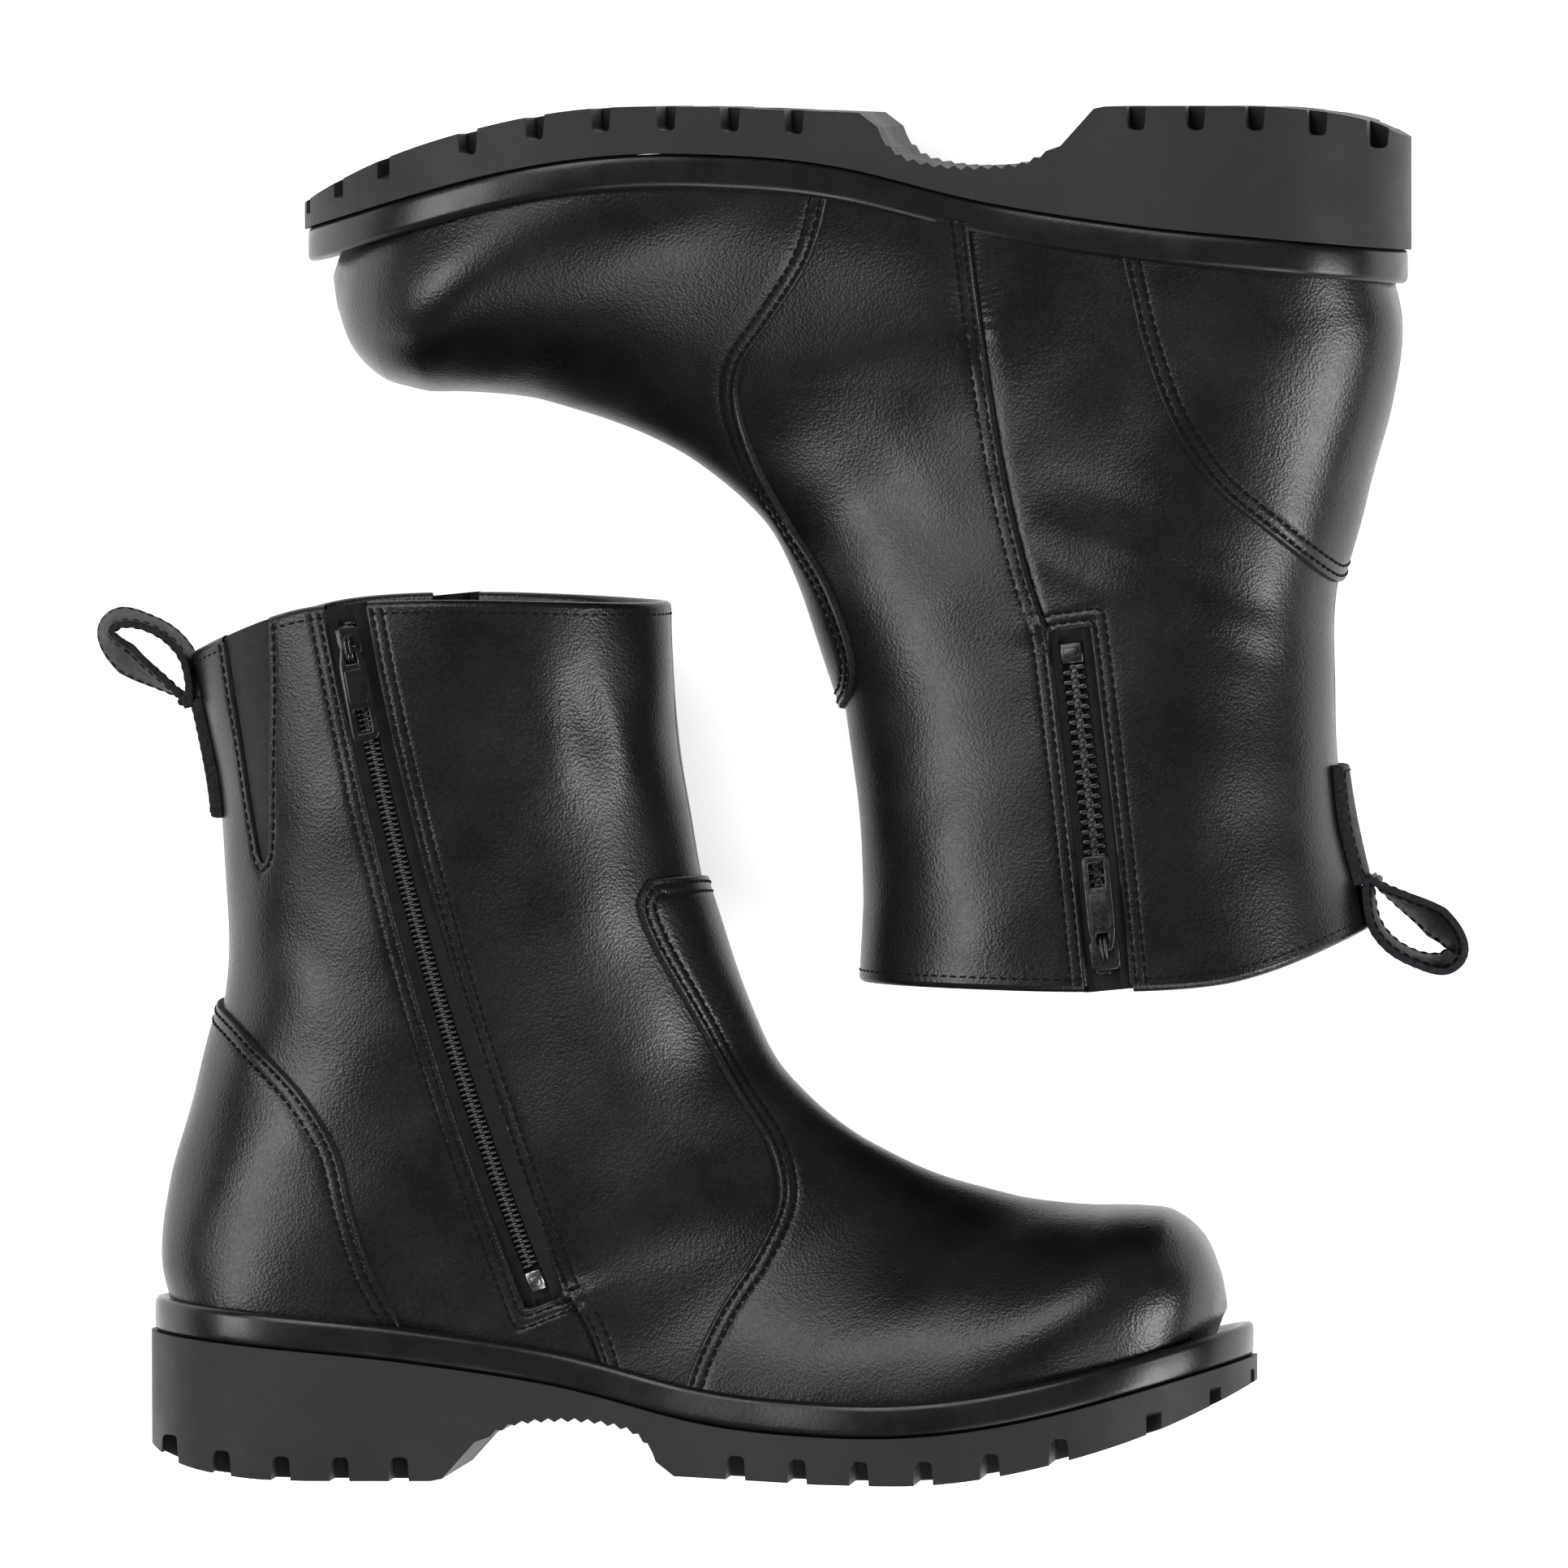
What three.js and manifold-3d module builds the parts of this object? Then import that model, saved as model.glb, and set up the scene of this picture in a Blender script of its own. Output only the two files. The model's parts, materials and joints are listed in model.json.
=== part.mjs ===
// A pair of leather side-zip ankle boots with lugged rubber soles, lying on their sides head to tail.
// Millimetres. Each boot is drawn standing in its own frame, the left one: +X to the toe, +Y to the
// outer (lateral) side, +Z up. The right boot is its mirror image. The part's frame has +Z up and its
// origin under the middle of the pair: the left boot lies with its toe to +X and its inner side up,
// the right boot with its toe to -X and its outer side up.
import * as THREE from 'three';
import { mergeVertices } from 'three/addons/utils/BufferGeometryUtils.js';
import Module from 'manifold-3d';

const wasm = await Module();
wasm.setup();

// ---- Driving dimensions ----
const BOOT_LENGTH = 301; // outsole, heel to toe
const SHAFT_HEIGHT = 237; // ground to the top of the shaft
const BALL_WIDTH = 107; // outsole at its widest
const LEATHER = 1.8; // each leather piece
const LINING = 1.4;
const GLUE = 0.3; // gap between two pieces that are stitched, glued or seated on each other
const SEAM_LAP = 11; // how far a quarter runs under the vamp or the heel counter
const PADDING = 1.2; // foam between the quarters and the lining
const WELT_BAND = 9.4; // height of the welt's band above the outsole
const WELT_LIP = 3; // how far the welt's lip stands above the ledge that the upper sits on
const WELT_INSET = 1; // the welt's edge behind the outsole's
const BOARD = 2.2; // insole board
const FOOTBED = 4;
const SHANK = 1.4; // thickness of the steel shank
const SHANK_WIDTH = 15;
const LUG_DEPTH = 5.6;
const LUG_GAP = 4.6; // width of a tread groove
const LUG_REACH = 17; // how far the edge lugs run in from the outsole's edge line
const RUNNING = 0.4; // clearance of a moving piece
const ZIP_OPENING = 11; // between the leather edges along a zip
const LONG_CHAIN = 4.4; // width over the teeth of the long coil zip
const SHORT_CHAIN = 6; // width over the teeth of the short metal zip
const TEETH_THICK = 2.2;
const WING = 0.9; // thickness of a slider's wings
const SLIDER_LENGTH = 12;
const PULL_LENGTH = 25;
const PULL_WIDTH = 7.4;
const PULL_THICK = 1.2;
const STOP_LENGTH = 6;
const STRAP_WIDTH = 22; // pull loop
const STRAP = 2; // thickness of the pull loop's strap
const SHAFTS_APART = 59; // between the fronts of the two shafts, near their tops
const RIM_OVER_SOLE = 133; // from one boot's shaft top to the ground line of the other's sole

// ---- Sizes that the drawing below is made at ----
const DRAWN = { length: 301, height: 237, width: 107, ankle: 120 };
const alongFoot = BOOT_LENGTH / DRAWN.length;
const upShaft = (SHAFT_HEIGHT - DRAWN.ankle) / (DRAWN.height - DRAWN.ankle);
const across = BALL_WIDTH / DRAWN.width;

// A drawn point of the side view at the real size: the shaft takes up any change of height.
const place = ([x, z]) => [
  x * alongFoot,
  z > DRAWN.ankle ? DRAWN.ankle + (z - DRAWN.ankle) * upShaft : z,
];

// A smooth line through drawn side-view points, with a few steps between neighbours.
function sideLine(points, steps = 1) {
  const curve = new THREE.SplineCurve(points.map((p) => new THREE.Vector2(...place(p))));
  return curve.getPoints((points.length - 1) * steps).map((p) => [p.x, p.y]);
}

// ---- Side view of the boot ----
// The upper is lofted through sections that fan round the instep, from level ones at the shaft's top to
// upright ones at the toe. Each has its front and back end in the side view, the half widths to the outer
// and inner side, the shift of its middle, the share of its depth at which it is widest, and the
// roundness of its front and back halves (2 is an ellipse, more is boxier).
const SECTIONS = [
  // front end    back end      outer inner shift widest front back
  [[141, 253], [7, 241], 47, 47, 0, 0.5, 2.2, 2.2],
  [[142, 225], [13, 214], 47, 47, 0, 0.5, 2.2, 2.2],
  [[144, 196], [18.5, 188], 45.5, 45.5, 0, 0.5, 2.2, 2.2],
  [[149, 167], [21, 160], 43, 43, 0, 0.5, 2.1, 2.2],
  [[157, 139], [20.5, 131], 40, 40, 0, 0.52, 2.1, 2.2],
  [[166, 116], [14, 106], 37.5, 37.5, 0, 0.55, 2, 2.2],
  [[177, 102], [6.5, 80], 36, 36, 0, 0.58, 1.95, 2.4],
  [[189, 92], [5, 54], 35.5, 35, 0, 0.63, 1.9, 2.9],
  [[202, 84.5], [19, 33], 35.5, 34.5, 0.5, 0.69, 1.9, 3.8],
  [[214, 79.2], [62, 29], 36, 34, 1, 0.73, 1.9, 3.6],
  [[226, 75.5], [103, 21], 38.5, 34.5, 1.5, 0.75, 1.95, 3.4],
  [[238, 72.6], [143, 13], 42.5, 38.5, 1.5, 0.74, 2, 3.4],
  [[249, 70.8], [181, 8.5], 46.5, 43, 1.5, 0.72, 2.1, 3.2],
  [[259.5, 69.6], [214, 9], 47.5, 45, 1, 0.7, 2.2, 3],
  [[269, 69.2], [242, 13.5], 45, 43, 0, 0.66, 2.4, 3],
  [[277.5, 68], [264, 20], 38.5, 37.5, -1.5, 0.64, 2.4, 2.8],
  [[284.5, 63.6], [278, 27.5], 29, 29, -3, 0.6, 2.3, 2.6],
  [[289, 56], [286.5, 35], 17, 17, -4, 0.55, 2.2, 2.4],
  [[290.8, 49], [290.6, 43], 4.5, 4.5, -4.5, 0.5, 2, 2],
];
const RINGS = [0, 1, 3, 4, 5, 6, 7, 7.6, 8.4, 9.5, 11, 12, 13, 14, 15, 16, 17, 18]; // sections that are built
const AROUND = 16; // points of each section

// Lines of the side view, heel to toe: the welt's top, the shaft's top and the tread's lowest line.
const WELT_TOP = [
  [-12, 49.4], [36, 45], [72, 41.4], [113, 35], [151, 25.6],
  [180, 22.4], [212, 22.4], [245, 27.4], [289, 39.2], [312, 45.5],
];
const TOP_LINE = [
  [-20, 208], [0, 215.5], [13, 223.5], [36, 233], [56, 237], [90, 238], [142, 236.6], [180, 236],
];
const HEEL_BOTTOM = [[-12, 13], [0, 8.5], [12, 3.4], [30, 0.6], [46, 0]];
const FOREFOOT_BOTTOM = [
  [186, 0], [199, 0], [212, 0], [232, 2.2], [252, 6.6], [272, 12.8], [290, 20.5], [312, 32],
];
const HEEL_BREAST = [
  [83, 0], [91, 4.4], [95.5, 12], [104, 15.2], [121, 15.8], [134, 13.2], [141, 5.4], [146, 1.6],
];

// Edges of the leather pieces, from the welt upwards.
const VAMP_EDGE = {
  medial: [
    [147, 12], [149.5, 27.5], [157, 45], [167, 61], [172.6, 75],
    [170, 89], [161, 103.5], [150, 124], [139, 144.5], [135.6, 157],
  ],
  lateral: [
    [153, 12], [155, 27], [160, 42], [170, 56.5], [179, 68.5], [179.5, 80],
    [174, 95], [164, 112], [153.5, 129.5], [147.6, 146], [147.4, 156],
  ],
};
const VAMP_CORNER = {
  medial: [[137.6, 160.6], [141.5, 162.4], [190, 164]],
  lateral: [[149.6, 160], [153.6, 162.4], [190, 164]],
};
const COUNTER_EDGE = {
  medial: [
    [78, 22], [71.5, 41.5], [63.5, 57], [58.4, 73], [54.5, 89],
    [45.5, 103.5], [33, 116], [19.8, 125.6], [-6, 138],
  ],
  lateral: [
    [80, 22], [75.8, 41], [71, 62], [63.5, 83.5], [52.5, 101], [37.5, 114.6], [19.6, 129.6], [-6, 148],
  ],
};
const GUSSET_NOTCH = [[21.5, 252], [31.5, 171], [33.2, 168.4], [35, 171], [36.4, 252]];

// Zips: where each chain starts, bends and ends in the side view.
const LONG_ZIP = { side: -1, chain: LONG_CHAIN, points: [[58.6, 232], [76.5, 152], [107, 57]] };
const SHORT_ZIP = { side: 1, chain: SHORT_CHAIN, points: [[79, 233], [83.6, 190], [88.6, 150]] };
const ZIP_SUNK = 0.6; // how far the middle of a chain lies below the leather's face
// Seams that carry on from the zips' lower ends down to the welt.
const LONG_ZIP_SEAM = [[112, 46], [123, 34], [131, 12]];
const SHORT_ZIP_SEAM = [[93, 140], [101, 124], [107, 101], [112.5, 69], [116.5, 36], [118, 12]];

// Outsole in plan, from the heel's back round the outer side to the toe and back.
const SOLE_PLAN = [
  [0, 0], [3, 16], [12, 29.5], [28, 38.5], [52, 41], [85, 40], [112, 39.6], [140, 44], [168, 50.5], [198, 55],
  [226, 55.6], [252, 51], [273, 42], [290, 26], [299.5, 8], [300.5, -10], [294, -27], [280, -40], [258, -49],
  [228, -51.6], [196, -49.6], [166, -43], [138, -37.5], [112, -36], [84, -38.5], [52, -40.5], [28, -38.5],
  [12, -29.5], [3, -16],
];
const PLAN_POINTS = 44;
const HEEL_GROOVES = [7.5, 23, 39.5, 55.5, 71.5]; // along the boot, inner and outer side alike
const FOREFOOT_GROOVES = [163, 180, 197, 214.5, 232.5, 251];
const TOE_GROOVES = [-58, -36, -12, 12, 36, 58]; // degrees round the toe
const TOE_CENTRE = [248, 0];

const reach = 90; // past every face of the boot, for cutting shapes

// ---- Solids ----
// A closed mesh with its shared points merged, as a solid that can be cut and joined.
function solidOf(geometry) {
  const bare = geometry.index ? geometry.toNonIndexed() : geometry.clone();
  bare.deleteAttribute('normal');
  bare.deleteAttribute('uv');
  const merged = mergeVertices(bare, 1e-4);
  return new wasm.Manifold(new wasm.Mesh({
    numProp: 3,
    vertProperties: new Float32Array(merged.attributes.position.array),
    triVerts: new Uint32Array(merged.index.array),
  }));
}

function geometryOf(solid) {
  const mesh = solid.getMesh();
  const positions = new Float32Array(mesh.numVert * 3);
  for (let i = 0; i < mesh.numVert; i++) {
    positions.set(mesh.vertProperties.subarray(i * mesh.numProp, i * mesh.numProp + 3), i * 3);
  }
  return new THREE.BufferGeometry()
    .setAttribute('position', new THREE.BufferAttribute(positions, 3))
    .setIndex(new THREE.BufferAttribute(mesh.triVerts, 1))
    .toNonIndexed();
}

const joined = (solids) => solids.reduce((a, b) => a.add(b));

// Only the largest body of a cut, without slivers that the cut left elsewhere.
function mainBody(solid) {
  const bodies = solid.decompose();
  return bodies.reduce((a, b) => (b.volume() > a.volume() ? b : a));
}

// A side-view outline at its real size, extruded across the boot from yLow to yHigh.
function sidePrism(outline, yLow = -reach, yHigh = reach) {
  const shape = new THREE.Shape(outline.map((p) => new THREE.Vector2(...p)));
  const geometry = new THREE.ExtrudeGeometry(shape, { depth: yHigh - yLow, bevelEnabled: false });
  return solidOf(geometry.rotateX(Math.PI / 2).translate(0, yHigh, 0));
}

const sideOf = (side, outline) =>
  side > 0 ? sidePrism(outline, GLUE / 2, reach) : sidePrism(outline, -reach, -GLUE / 2);

const raised = (line, by) => line.map(([x, z]) => [x, z + by]);
const moved = (line, dx, dz) => line.map(([x, z]) => [x + dx, z + dz]);

function heightOn(line, x) {
  const i = Math.max(1, line.findIndex((p) => p[0] >= x));
  const [x0, z0] = line[i - 1];
  const [x1, z1] = line[i];
  return z0 + ((z1 - z0) * (x - x0)) / (x1 - x0);
}

// ---- The upper's surface ----
const flat = SECTIONS.map(([front, back, outer, inner, shift, widest, nFront, nBack]) => [
  ...place(front), ...place(back), outer * across, inner * across, shift * across, widest, nFront, nBack,
]);

// The section's ten values at t, along a spline through the drawn sections.
function sectionAt(t) {
  const i = Math.min(Math.floor(t), flat.length - 2);
  const u = t - i;
  const clamped = (k) => flat[Math.min(Math.max(k, 0), flat.length - 1)];
  const [p0, p1, p2, p3] = [i - 1, i, i + 1, i + 2].map(clamped);
  return p1.map((_, k) => {
    const slope1 = (p2[k] - p0[k]) / 2;
    const slope2 = (p3[k] - p1[k]) / 2;
    const a = 2 * p1[k] - 2 * p2[k] + slope1 + slope2;
    const b = 3 * p2[k] - 3 * p1[k] - 2 * slope1 - slope2;
    return ((a * u + b) * u + slope1) * u + p1[k];
  });
}

const power = (v, n) => Math.sign(v) * Math.abs(v) ** (2 / n);

// A point of the surface: t runs from the shaft's top to the toe, and angle round the section, from 0 at
// its front end through the outer side.
function surfacePoint(t, angle) {
  const [ax, az, bx, bz, outer, inner, shift, widest, nFront, nBack] = sectionAt(t);
  const c = Math.cos(angle);
  const s = Math.sin(angle);
  const n = c >= 0 ? nFront : nBack;
  const share = c >= 0 ? widest * (1 - power(c, n)) : widest - (1 - widest) * power(c, n);
  const y = shift + power(s, n) * (s >= 0 ? outer : inner);
  return new THREE.Vector3(ax + (bx - ax) * share, y, az + (bz - az) * share);
}

function surfaceNormal(t, angle) {
  const last = flat.length - 1;
  const step = 0.02;
  const t0 = Math.max(0, t - step);
  const t1 = Math.min(last, t + step);
  const along = surfacePoint(t1, angle).sub(surfacePoint(t0, angle));
  const round = surfacePoint(t, angle + step).sub(surfacePoint(t, angle - step));
  return along.cross(round).normalize();
}

// Rings of points on the surface moved outwards by offset.
function ringsAt(offset) {
  return RINGS.map((t) =>
    Array.from({ length: AROUND }, (_, j) => {
      const angle = (2 * Math.PI * j) / AROUND;
      return surfacePoint(t, angle).addScaledVector(surfaceNormal(t, angle), offset);
    }));
}

// The closed volume inside the surface moved outwards by offset.
const volumes = new Map();
function volume(offset) {
  const key = offset.toFixed(3);
  if (!volumes.has(key)) volumes.set(key, loft(ringsAt(offset)));
  return volumes.get(key);
}

function loft(rings) {
  const points = rings.flat();
  const faces = [];
  const at = (i, j) => i * AROUND + (j % AROUND);
  for (let i = 0; i + 1 < rings.length; i++) {
    for (let j = 0; j < AROUND; j++) {
      faces.push(at(i, j), at(i + 1, j), at(i, j + 1), at(i, j + 1), at(i + 1, j), at(i + 1, j + 1));
    }
  }
  for (const [ring, turned] of [[0, true], [rings.length - 1, false]]) {
    const middle = rings[ring].reduce((sum, p) => sum.add(p), new THREE.Vector3()).divideScalar(AROUND);
    points.push(middle);
    for (let j = 0; j < AROUND; j++) {
      const pair = turned ? [at(ring, j), at(ring, j + 1)] : [at(ring, j + 1), at(ring, j)];
      faces.push(points.length - 1, ...pair);
    }
  }
  const solid = new wasm.Manifold(new wasm.Mesh({
    numProp: 3,
    vertProperties: new Float32Array(points.flatMap((p) => p.toArray())),
    triVerts: new Uint32Array(faces),
  }));
  return solid;
}

// ---- Shared side-view lines at their real size ----
const weltTop = sideLine(WELT_TOP);
const ledge = raised(weltTop, -WELT_LIP);
const topLine = sideLine(TOP_LINE);
const bottomOfUpper = raised(ledge, GLUE);
const band = (low, high) => [...low, ...[...high].reverse()];
const upperBand = sidePrism(band(bottomOfUpper, topLine));

// A skin of the upper between two offsets, from the welt's ledge to the shaft's top.
const skin = (inside, outside) => volume(outside).subtract(volume(inside)).intersect(upperBand);

const overlay = [GLUE, GLUE + LEATHER];
const leather = [-LEATHER, 0];
const liningOut = -LEATHER - PADDING;
const liningIn = liningOut - LINING;
const leatherSkin = skin(...leather);
const overlaySkin = skin(...overlay);
const liningSkin = skin(liningIn, liningOut);

// ---- Zips ----
// The side-view point of a skin, found on the surface itself: its t and angle by successive halving.
function onSurface([x, z], side) {
  let best = null;
  for (let t = 0; t <= 8; t += 0.25) {
    for (let k = 1; k < 36; k++) {
      const p = surfacePoint(t, (side * Math.PI * k) / 36);
      const far = Math.hypot(p.x - x, p.z - z);
      if (!best || far < best.far) best = { t, k, far };
    }
  }
  let [t, k] = [best.t, best.k];
  for (let step = 0.25; step > 1e-4; step /= 2) {
    for (let pass = 0; pass < 3; pass++) {
      for (const [dt, dk] of [[step, 0], [-step, 0], [0, 4 * step], [0, -4 * step]]) {
        const p = surfacePoint(Math.max(0, t + dt), (side * Math.PI * (k + dk)) / 36);
        const far = Math.hypot(p.x - x, p.z - z);
        if (far < best.far) {
          best.far = far;
          [t, k] = [Math.max(0, t + dt), k + dk];
        }
      }
    }
  }
  const angle = (side * Math.PI * k) / 36;
  return { point: surfacePoint(t, angle), normal: surfaceNormal(t, angle) };
}

// A zip's track is an arc through three points of the surface, so its slider turns about the arc's
// centre. Along it, s runs down from the chain's top, w across towards the toe, and o out of the boot.
function zipTrack({ side, points }) {
  const found = points.map((p) => onSurface(place(p), side));
  const [p0, p1, p2] = found.map(({ point, normal }) => point.clone().addScaledVector(normal, -ZIP_SUNK));
  const a = p0.clone().sub(p2);
  const b = p1.clone().sub(p2);
  const cross = a.clone().cross(b);
  const centre = b.clone().multiplyScalar(a.lengthSq()).sub(a.clone().multiplyScalar(b.lengthSq()))
    .cross(cross).negate().divideScalar(2 * cross.lengthSq()).negate().add(p2);
  const axis = cross.clone().normalize();
  const radius = p0.distanceTo(centre);
  const start = p0.clone().sub(centre);
  const sweep = start.angleTo(p2.clone().sub(centre));
  const down = p2.clone().sub(p0);
  if (axis.clone().cross(start).dot(down) < 0) axis.negate();
  const middle = start.clone().applyAxisAngle(axis, sweep / 2);
  const tangent = axis.clone().cross(middle).normalize();
  const outward = found[1].normal.clone().addScaledVector(tangent, -found[1].normal.dot(tangent)).normalize();
  const tilt = new THREE.Vector2(outward.dot(middle.clone().normalize()), outward.dot(axis));
  const frameAt = (s) => {
    const arm = start.clone().applyAxisAngle(axis, s / radius);
    const t = axis.clone().cross(arm).normalize();
    const o = arm.clone().normalize().multiplyScalar(tilt.x).addScaledVector(axis, tilt.y).normalize();
    const w = t.clone().cross(o).normalize();
    if (w.x < 0) w.negate();
    return { origin: centre.clone().add(arm), t, o, w };
  };
  const pointAt = (s, w, o) => {
    const f = frameAt(s);
    return f.origin.clone().addScaledVector(f.w, w).addScaledVector(f.o, o);
  };
  const span = radius * sweep;
  const mirrored = frameAt(0).t.clone().cross(frameAt(0).w).dot(frameAt(0).o) < 0;
  return { side, centre, axis, radius, span, frameAt, pointAt, mirrored };
}

// A solid drawn flat as (s, w, o) and bent along the track.
function alongTrack(track, geometry) {
  const bent = geometry.clone();
  const position = bent.getAttribute('position');
  for (let i = 0; i < position.count; i++) {
    const p = track.pointAt(position.getX(i), position.getY(i), position.getZ(i));
    position.setXYZ(i, p.x, p.y, p.z);
  }
  return turnedOut(bent, track.mirrored);
}

// Faces turned round where the mapping mirrored them.
function turnedOut(geometry, mirrored) {
  if (!mirrored) return solidOf(geometry);
  const bare = geometry.index ? geometry.toNonIndexed() : geometry;
  const p = bare.getAttribute('position');
  for (let i = 0; i < p.count; i += 3) {
    const [x, y, z] = [p.getX(i), p.getY(i), p.getZ(i)];
    p.setXYZ(i, p.getX(i + 1), p.getY(i + 1), p.getZ(i + 1));
    p.setXYZ(i + 1, x, y, z);
  }
  return solidOf(bare);
}

// A solid drawn flat as (s, w, o) and placed whole on the track at s0, as a rigid piece is.
function onTrack(track, s0, geometry) {
  const f = track.frameAt(s0);
  const matrix = new THREE.Matrix4().makeBasis(f.t, f.w, f.o).setPosition(f.origin);
  return turnedOut(geometry.clone().applyMatrix4(matrix), track.mirrored);
}

const flatBox = (s0, s1, w0, w1, o0, o1, steps = 1) =>
  new THREE.BoxGeometry(s1 - s0, w1 - w0, o1 - o0, steps, 1, 1)
    .translate((s0 + s1) / 2, (w0 + w1) / 2, (o0 + o1) / 2);

const stepsOf = (span) => Math.ceil(span / 18);

// The strip of the side view within half of a track, from above the shaft to past the zip's lower end.
function trackStrip(track, half, past) {
  const edge = (sign) => {
    const line = [];
    for (let s = -30; s < track.span + past + 1; s += 10) {
      const at = Math.min(s, track.span + past);
      const p = track.pointAt(at, sign * half, 0);
      line.push([p.x, p.z]);
    }
    return line;
  };
  return [...edge(-1), ...edge(1).reverse()];
}

const zipTail = STOP_LENGTH + 3.6; // what lies in the opening below the chain
const openingOf = (track) => {
  const half = ZIP_OPENING / 2;
  return alongTrack(track, flatBox(-30, track.span + zipTail, -half, half, -9, 9, stepsOf(track.span)));
};

// The two rows of teeth, joined where the bottom stop holds them. The slider's web runs between them.
// A pitch of 0 makes plain rows, as a fine coil's are.
const WEB = 0.6;
const TOOTH_ROOT = 0.8; // how far the notches between teeth reach in
function toothRow(track, chain, pitch, sign) {
  const steps = pitch ? 2 * Math.floor(track.span / pitch) : stepsOf(track.span);
  const [w0, w1] = [(sign * (WEB / 2 + GLUE)), (sign * chain) / 2].sort((a, b) => a - b);
  const row = flatBox(0, track.span, w0, w1, -TEETH_THICK / 2, TEETH_THICK / 2, steps);
  const position = row.getAttribute('position');
  for (let i = 0; pitch && i < position.count; i++) {
    const isRoot = Math.round((position.getX(i) * steps) / track.span) % 2 === 1;
    if (isRoot && sign * position.getY(i) > chain / 4) position.setY(i, sign * (chain / 2 - TOOTH_ROOT));
  }
  return alongTrack(track, row);
}

function teethPair(track, chain, pitch) {
  const half = chain / 2 - TOOTH_ROOT;
  const bridge = flatBox(track.span - 1, track.span, -half, half, -TEETH_THICK / 2, TEETH_THICK / 2);
  const rows = [-1, 1].map((side) => toothRow(track, chain, pitch, side));
  return joined([...rows, alongTrack(track, bridge)]);
}

// The tape: one woven strip each side of the teeth, joined below the stop.
const TAPE = 0.8;
function tapeOf(track, chain) {
  const near = chain / 2 + GLUE;
  const far = ZIP_OPENING / 2 - GLUE;
  const end = track.span + zipTail - 2 * GLUE;
  const foot = track.span + STOP_LENGTH + 2 * GLUE;
  const strips = [-1, 1].map((sign) => {
    const [w0, w1] = [sign * near, sign * far].sort((a, b) => a - b);
    return alongTrack(track, flatBox(0, end, w0, w1, -TAPE / 2, TAPE / 2, stepsOf(end)));
  });
  return joined([...strips, alongTrack(track, flatBox(foot, end, -far, far, -TAPE / 2, TAPE / 2))]);
}

function bottomStop(track, chain) {
  const s0 = track.span + GLUE;
  const half = chain / 2 - 0.2;
  return onTrack(track, s0, flatBox(0, STOP_LENGTH, -half, half, -TEETH_THICK / 2, TEETH_THICK / 2 + 0.5));
}

// The slider: two wings joined by the web between the teeth, flanges that guide the teeth, and a bail.
const wingLow = TEETH_THICK / 2 + RUNNING;
const wingTop = wingLow + WING;
const BAIL_HEIGHT = 2.8;
const BAIL_HALF = 1.3;
const BAR = 0.6; // radius of the pull's bar
const barAt = wingTop + 1.2; // the bar's centre above the chain's middle plane
const sliderRest = SLIDER_LENGTH / 2 + 1;
function sliderOf(track, chain) {
  const half = chain / 2 + RUNNING + 0.6;
  const [s0, s1] = [-SLIDER_LENGTH / 2, SLIDER_LENGTH / 2];
  const wing = (o0, o1) => {
    const shape = new THREE.Shape();
    shape.moveTo(s0, -half * 1.15).lineTo(s0 * 0.2, -half * 1.15).lineTo(s1, -half * 0.85);
    shape.lineTo(s1, half * 0.85).lineTo(s0 * 0.2, half * 1.15).lineTo(s0, half * 1.15);
    return new THREE.ExtrudeGeometry(shape, { depth: o1 - o0, bevelEnabled: false }).translate(0, 0, o0);
  };
  const flange = (sign, o0, o1) => {
    const [w0, w1] = [sign * (chain / 2 + RUNNING), sign * half].sort((a, b) => a - b);
    return flatBox(s0 * 0.9, s1 * 0.3, w0, w1, o0, o1);
  };
  const slot = TAPE / 2 + RUNNING;
  const pieces = [
    wing(wingLow, wingTop), wing(-wingTop, -wingLow),
    flatBox(s0 + 0.5, s0 + 4.5, -WEB / 2, WEB / 2, -wingLow - 0.1, wingLow + 0.1),
    ...[-1, 1].flatMap((sign) => [flange(sign, slot, wingLow + 0.1), flange(sign, -wingLow - 0.1, -slot)]),
  ].map((piece) => onTrack(track, sliderRest, piece));
  const block = flatBox(-3.4, 3.4, -BAIL_HALF, BAIL_HALF, wingTop - 0.1, wingTop + BAIL_HEIGHT);
  const hole = flatBox(-1.3, 1.3, -3, 3, barAt - BAR - RUNNING, barAt + BAR + RUNNING);
  const [bail, eye] = [block, hole].map((piece) => onTrack(track, sliderRest, piece));
  return joined(pieces).add(bail.subtract(eye));
}

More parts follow.
